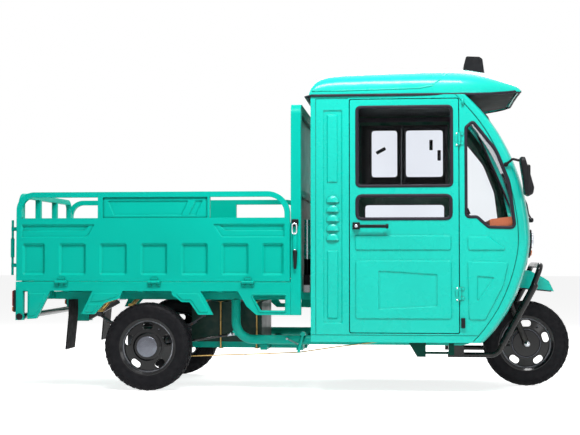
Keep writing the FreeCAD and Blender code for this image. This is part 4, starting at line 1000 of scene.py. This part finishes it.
def hinge_plates():
    for name, side in SIDES.items():
        out = Y_WAY * side
        axes = (X_WAY, Z_WAY, out)
        place = on_side(side, CAB_WALL_FACE)
        plates = bmesh.new()
        screws = bmesh.new()
        for z in (564, 1435):
            add_block(plates, place(1774, z, 1.2), axes, (0.010, 0.040, 0.0016), 0.001)
            for rise in (-32, 32):
                add_turned(screws, place(1772, z + rise, 2.6), out, SCREW_HEAD, 12)
        piece(f"hinge_plates_{name}", plates, "cab_outer", f"door_{name}")
        piece(f"hinge_screws_{name}", screws, "chrome", f"door_{name}")
        shape = bmesh.new()
        add_block(shape, place(1804, 402, 8), axes, (0.0115, 0.028, 0.009), 0.004)
        piece(f"door_stop_{name}", shape, "black_plastic", "chassis")
        shape = bmesh.new()
        add_turned(shape, place(1806, 1630, 6), Z_WAY, TOP_PIN, 16)
        piece(f"door_top_pin_{name}", shape, "cab_outer", "chassis")


# Tyres: the carcass with its side mouldings, and rows of tread blocks

TREAD_DEPTH = 9.0
TREAD_PITCHES = 38
TYRE_STEPS = 120
# Rows of blocks: distance from the middle, half width, half length, shift in pitches, lean.
TREAD_ROWS = ((-33, 9.0, 9.2, 0.0, 0.35), (-11.5, 9.0, 10.5, 0.5, 0.0), (11.5, 9.0, 10.5, 0.0, 0.0),
              (33, 9.0, 9.2, 0.5, -0.35))
TYRE_WALL = [(156, 34), (160, 39), (170, 41), (174, 43), (178, 42), (192, 45.5), (206, 46.6),
             (210, 46.9), (214, 46.2), (228, 43.5), (238, 40)]


def around(turn):
    """The ways out from a wheel's axle and along its rim, at a turn from the top."""
    return (Vector((math.sin(turn), 0, math.cos(turn))), Vector((math.cos(turn), 0, -math.sin(turn))))


def tyre(name, body, node, centre_x, centre_y):
    shape = bmesh.new()
    centre = at(centre_x, centre_y, TYRE_RADIUS)
    base = TYRE_RADIUS - TREAD_DEPTH
    half_profile = [*TYRE_WALL, (base - 3, 34), (base, 22), (base + 0.6, 8)]
    profile = [(r, -y) for r, y in half_profile] + [(r, y) for r, y in reversed(half_profile)]
    profile += [(152, 30), (152, -30)]
    rows = [(r * MM, y * MM) for r, y in profile]
    add_turned(shape, centre, Y_WAY, [*rows, rows[0]], TYRE_STEPS)
    bmesh.ops.remove_doubles(shape, verts=shape.verts, dist=1e-6)
    for k in range(TREAD_PITCHES):
        for across, half_across, half_along, shift, lean in TREAD_ROWS:
            out, along = around(math.tau * (k + shift) / TREAD_PITCHES)
            rise = TYRE_RADIUS - (3.4 if lean else 1.6)
            top = out * (rise - 5.4) * MM
            across_way = (Y_WAY + out * lean).normalized()
            out_way = across_way.cross(along).normalized()
            if out_way.dot(out) < 0:
                out_way.negate()
            add_block(shape, centre + Y_WAY * across * MM + top, (along, across_way, out_way),
                      (half_along * MM, half_across * MM, 5.0 * MM), 0)
        for side in (-1, 1):
            out, along = around(math.tau * (k + 0.25) / TREAD_PITCHES)
            out_way = (out * 0.92 - Y_WAY * side * 0.4).normalized()
            add_block(shape, centre + Y_WAY * side * 40.6 * MM + out * 234 * MM,
                      (along, out_way.cross(along), out_way), (8.0 * MM, 3.0 * MM, 10.5 * MM), 0)
    made = piece(name, shape, "tyre", body, smooth=False)
    for polygon in made.data.polygons[:TYRE_STEPS * len(rows)]:
        polygon.use_smooth = True
    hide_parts(node)


def tyres():
    tyre("tyre_front", "front_wheel", "front_tyre", WHEELBASE, 0)
    tyre("tyre_rear_right", "rear_wheel_right", "rear_right_tyre", 0, -REAR_WHEEL_Y)
    tyre("tyre_rear_left", "rear_wheel_left", "rear_left_tyre", 0, REAR_WHEEL_Y)


# Seat

PAD_SWELL = 0.012
SEAMS_AT = (0.25, 0.5, 0.75)
SEAM_DEPTH = 0.010
SEAM_WIDTH = 0.008


def cushion(name, node, cap, facing):
    """A padded form in the space of its plain solid, swollen by pressure and sewn on one face."""
    low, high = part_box(node)
    mesh = NODES[node].data.copy()
    made = placed(name, mesh)
    middle = (low + high) / 2
    shrink = Vector([(b - a - 2 * cap) / (b - a) for a, b in zip(low, high)])
    for vert in mesh.vertices:
        vert.co = middle + (vert.co - middle) * shrink
    mesh.materials.clear()
    mesh.materials.append(LOOKS["vinyl"])
    bpy.context.view_layer.objects.active = made
    remesh = made.modifiers.new("even", "REMESH")
    remesh.mode = "VOXEL"
    remesh.voxel_size = 0.012
    with bpy.context.temp_override(object=made, active_object=made):
        bpy.ops.object.modifier_apply(modifier="even")
    start = [vert.co.copy() for vert in made.data.vertices]
    cloth = made.modifiers.new("cloth", "CLOTH")
    cloth.settings.use_pressure = True
    cloth.settings.uniform_pressure_force = 4.0
    cloth.settings.effector_weights.gravity = 0.0
    cloth.settings.quality = 5
    for moment in range(1, 21):
        bpy.context.scene.frame_set(moment)
    with bpy.context.temp_override(object=made, active_object=made):
        bpy.ops.object.modifier_apply(modifier="cloth")
    bpy.context.scene.frame_set(1)
    for vert, first in zip(made.data.vertices, start):
        move = vert.co - first
        if move.length > cap:
            vert.co = first + move.normalized() * cap
    sew(made.data, low, high, facing)
    smooth = made.modifiers.new("smooth", "SUBSURF")
    smooth.levels = 1
    smooth.render_levels = 1
    for polygon in made.data.polygons:
        polygon.use_smooth = True
    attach(made, "chassis")
    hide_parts(node)


def sew(mesh, low, high, facing):
    """Sewn channels across the seat's width, on the face that looks along an axis."""
    width = high.y - low.y
    for vert in mesh.vertices:
        if vert.normal[facing] > 0.4:
            share = (vert.co.y - low.y) / width
            for line in SEAMS_AT:
                near = abs(share - line) * width
                vert.co[facing] -= SEAM_DEPTH * math.exp(-(near / SEAM_WIDTH) ** 2)


def seat():
    cushion("seat_cushion_cover", "seat_cushion", PAD_SWELL, facing=2)
    cushion("seat_backrest_cover", "seat_backrest", PAD_SWELL, facing=0)


# Stage: camera, light and floor

CAMERA_PLACE = Vector((0.6918, -7.4055, 0.7778))
CAMERA_TILT = math.radians(91.82)
CAMERA_TURN = math.radians(5.63)
CAMERA_LENS = 75.07
WORLD_LIGHT = 0.13
FLOOR_GLOW = 0.8


def camera():
    lens = bpy.data.cameras.new("camera")
    lens.lens = CAMERA_LENS
    lens.sensor_width = 36.0
    made = placed("camera", lens)
    made.location = CAMERA_PLACE
    made.rotation_euler = (CAMERA_TILT, 0, CAMERA_TURN)
    bpy.context.scene.camera = made


def area_lamp(name, place, target, width, height, power):
    lamp = bpy.data.lights.new(name, "AREA")
    lamp.shape = "RECTANGLE"
    lamp.size = width
    lamp.size_y = height
    lamp.energy = power
    made = placed(name, lamp)
    made.location = place
    made.rotation_euler = (Vector(target) - Vector(place)).to_track_quat("-Z", "Y").to_euler()


def seen_white(tree, plain_strength, seen_strength, socket):
    """A strength for what the camera sees directly, in gloss or through glass, and another for light."""
    path = tree.nodes.new("ShaderNodeLightPath")
    first, second = tree.nodes.new("ShaderNodeMath"), tree.nodes.new("ShaderNodeMath")
    first.operation = second.operation = "MAXIMUM"
    tree.links.new(path.outputs["Is Camera Ray"], first.inputs[0])
    tree.links.new(path.outputs["Is Glossy Ray"], first.inputs[1])
    tree.links.new(first.outputs[0], second.inputs[0])
    tree.links.new(path.outputs["Is Transmission Ray"], second.inputs[1])
    strength = tree.nodes.new("ShaderNodeMapRange")
    strength.inputs["To Min"].default_value = plain_strength
    strength.inputs["To Max"].default_value = seen_strength
    tree.links.new(second.outputs[0], strength.inputs["Value"])
    tree.links.new(strength.outputs["Result"], socket)


def lights():
    bpy.context.scene.view_settings.view_transform = "Standard"
    world = bpy.data.worlds.new("studio")
    bpy.context.scene.world = world
    world.use_nodes = True
    sky = world.node_tree.nodes["Background"]
    sky.inputs["Color"].default_value = (1, 1, 1, 1)
    seen_white(world.node_tree, WORLD_LIGHT, 1.0, sky.inputs["Strength"])
    area_lamp("key", (0.6, -2.7, 4.3), (0.2, -0.4, 0.7), 3.0, 0.9, 235)
    area_lamp("fill", (3.4, -5.2, 1.9), (0.3, 0, 0.9), 2.4, 1.8, 38)
    area_lamp("back", (0.0, 3.4, 3.6), (0.0, 0.2, 0.7), 4.5, 1.6, 170)


def floor():
    mesh = bpy.data.meshes.new("floor")
    half = 40.0
    corners = [(-half, -half, 0), (half, -half, 0), (half, half, 0), (-half, half, 0)]
    mesh.from_pydata(corners, [], [(0, 1, 2, 3)])
    made = placed("floor", mesh)
    stuff = Finish("pale_floor")
    stuff.colour((0.84, 0.84, 0.84, 1.0))
    stuff.set(Roughness=0.95, Specular_IOR_Level=0.0, Emission_Color=(1, 1, 1, 1))
    seen_white(stuff.tree, 0.0, FLOOR_GLOW, stuff.shader.inputs["Emission Strength"])
    mesh.materials.append(stuff.material)


dress_nodes()
camera()
lights()
floor()
tyres()
seals()
screen()
roof_trim()
seams()
door_handles()
sliders()
mirror_faces()
mirror_backs()
bed_latches()
rear_lamps()
skirts()
struts()
brake_rod()
mudguard_lip()
nose()
wheel_trim()
hinge_plates()
seat()
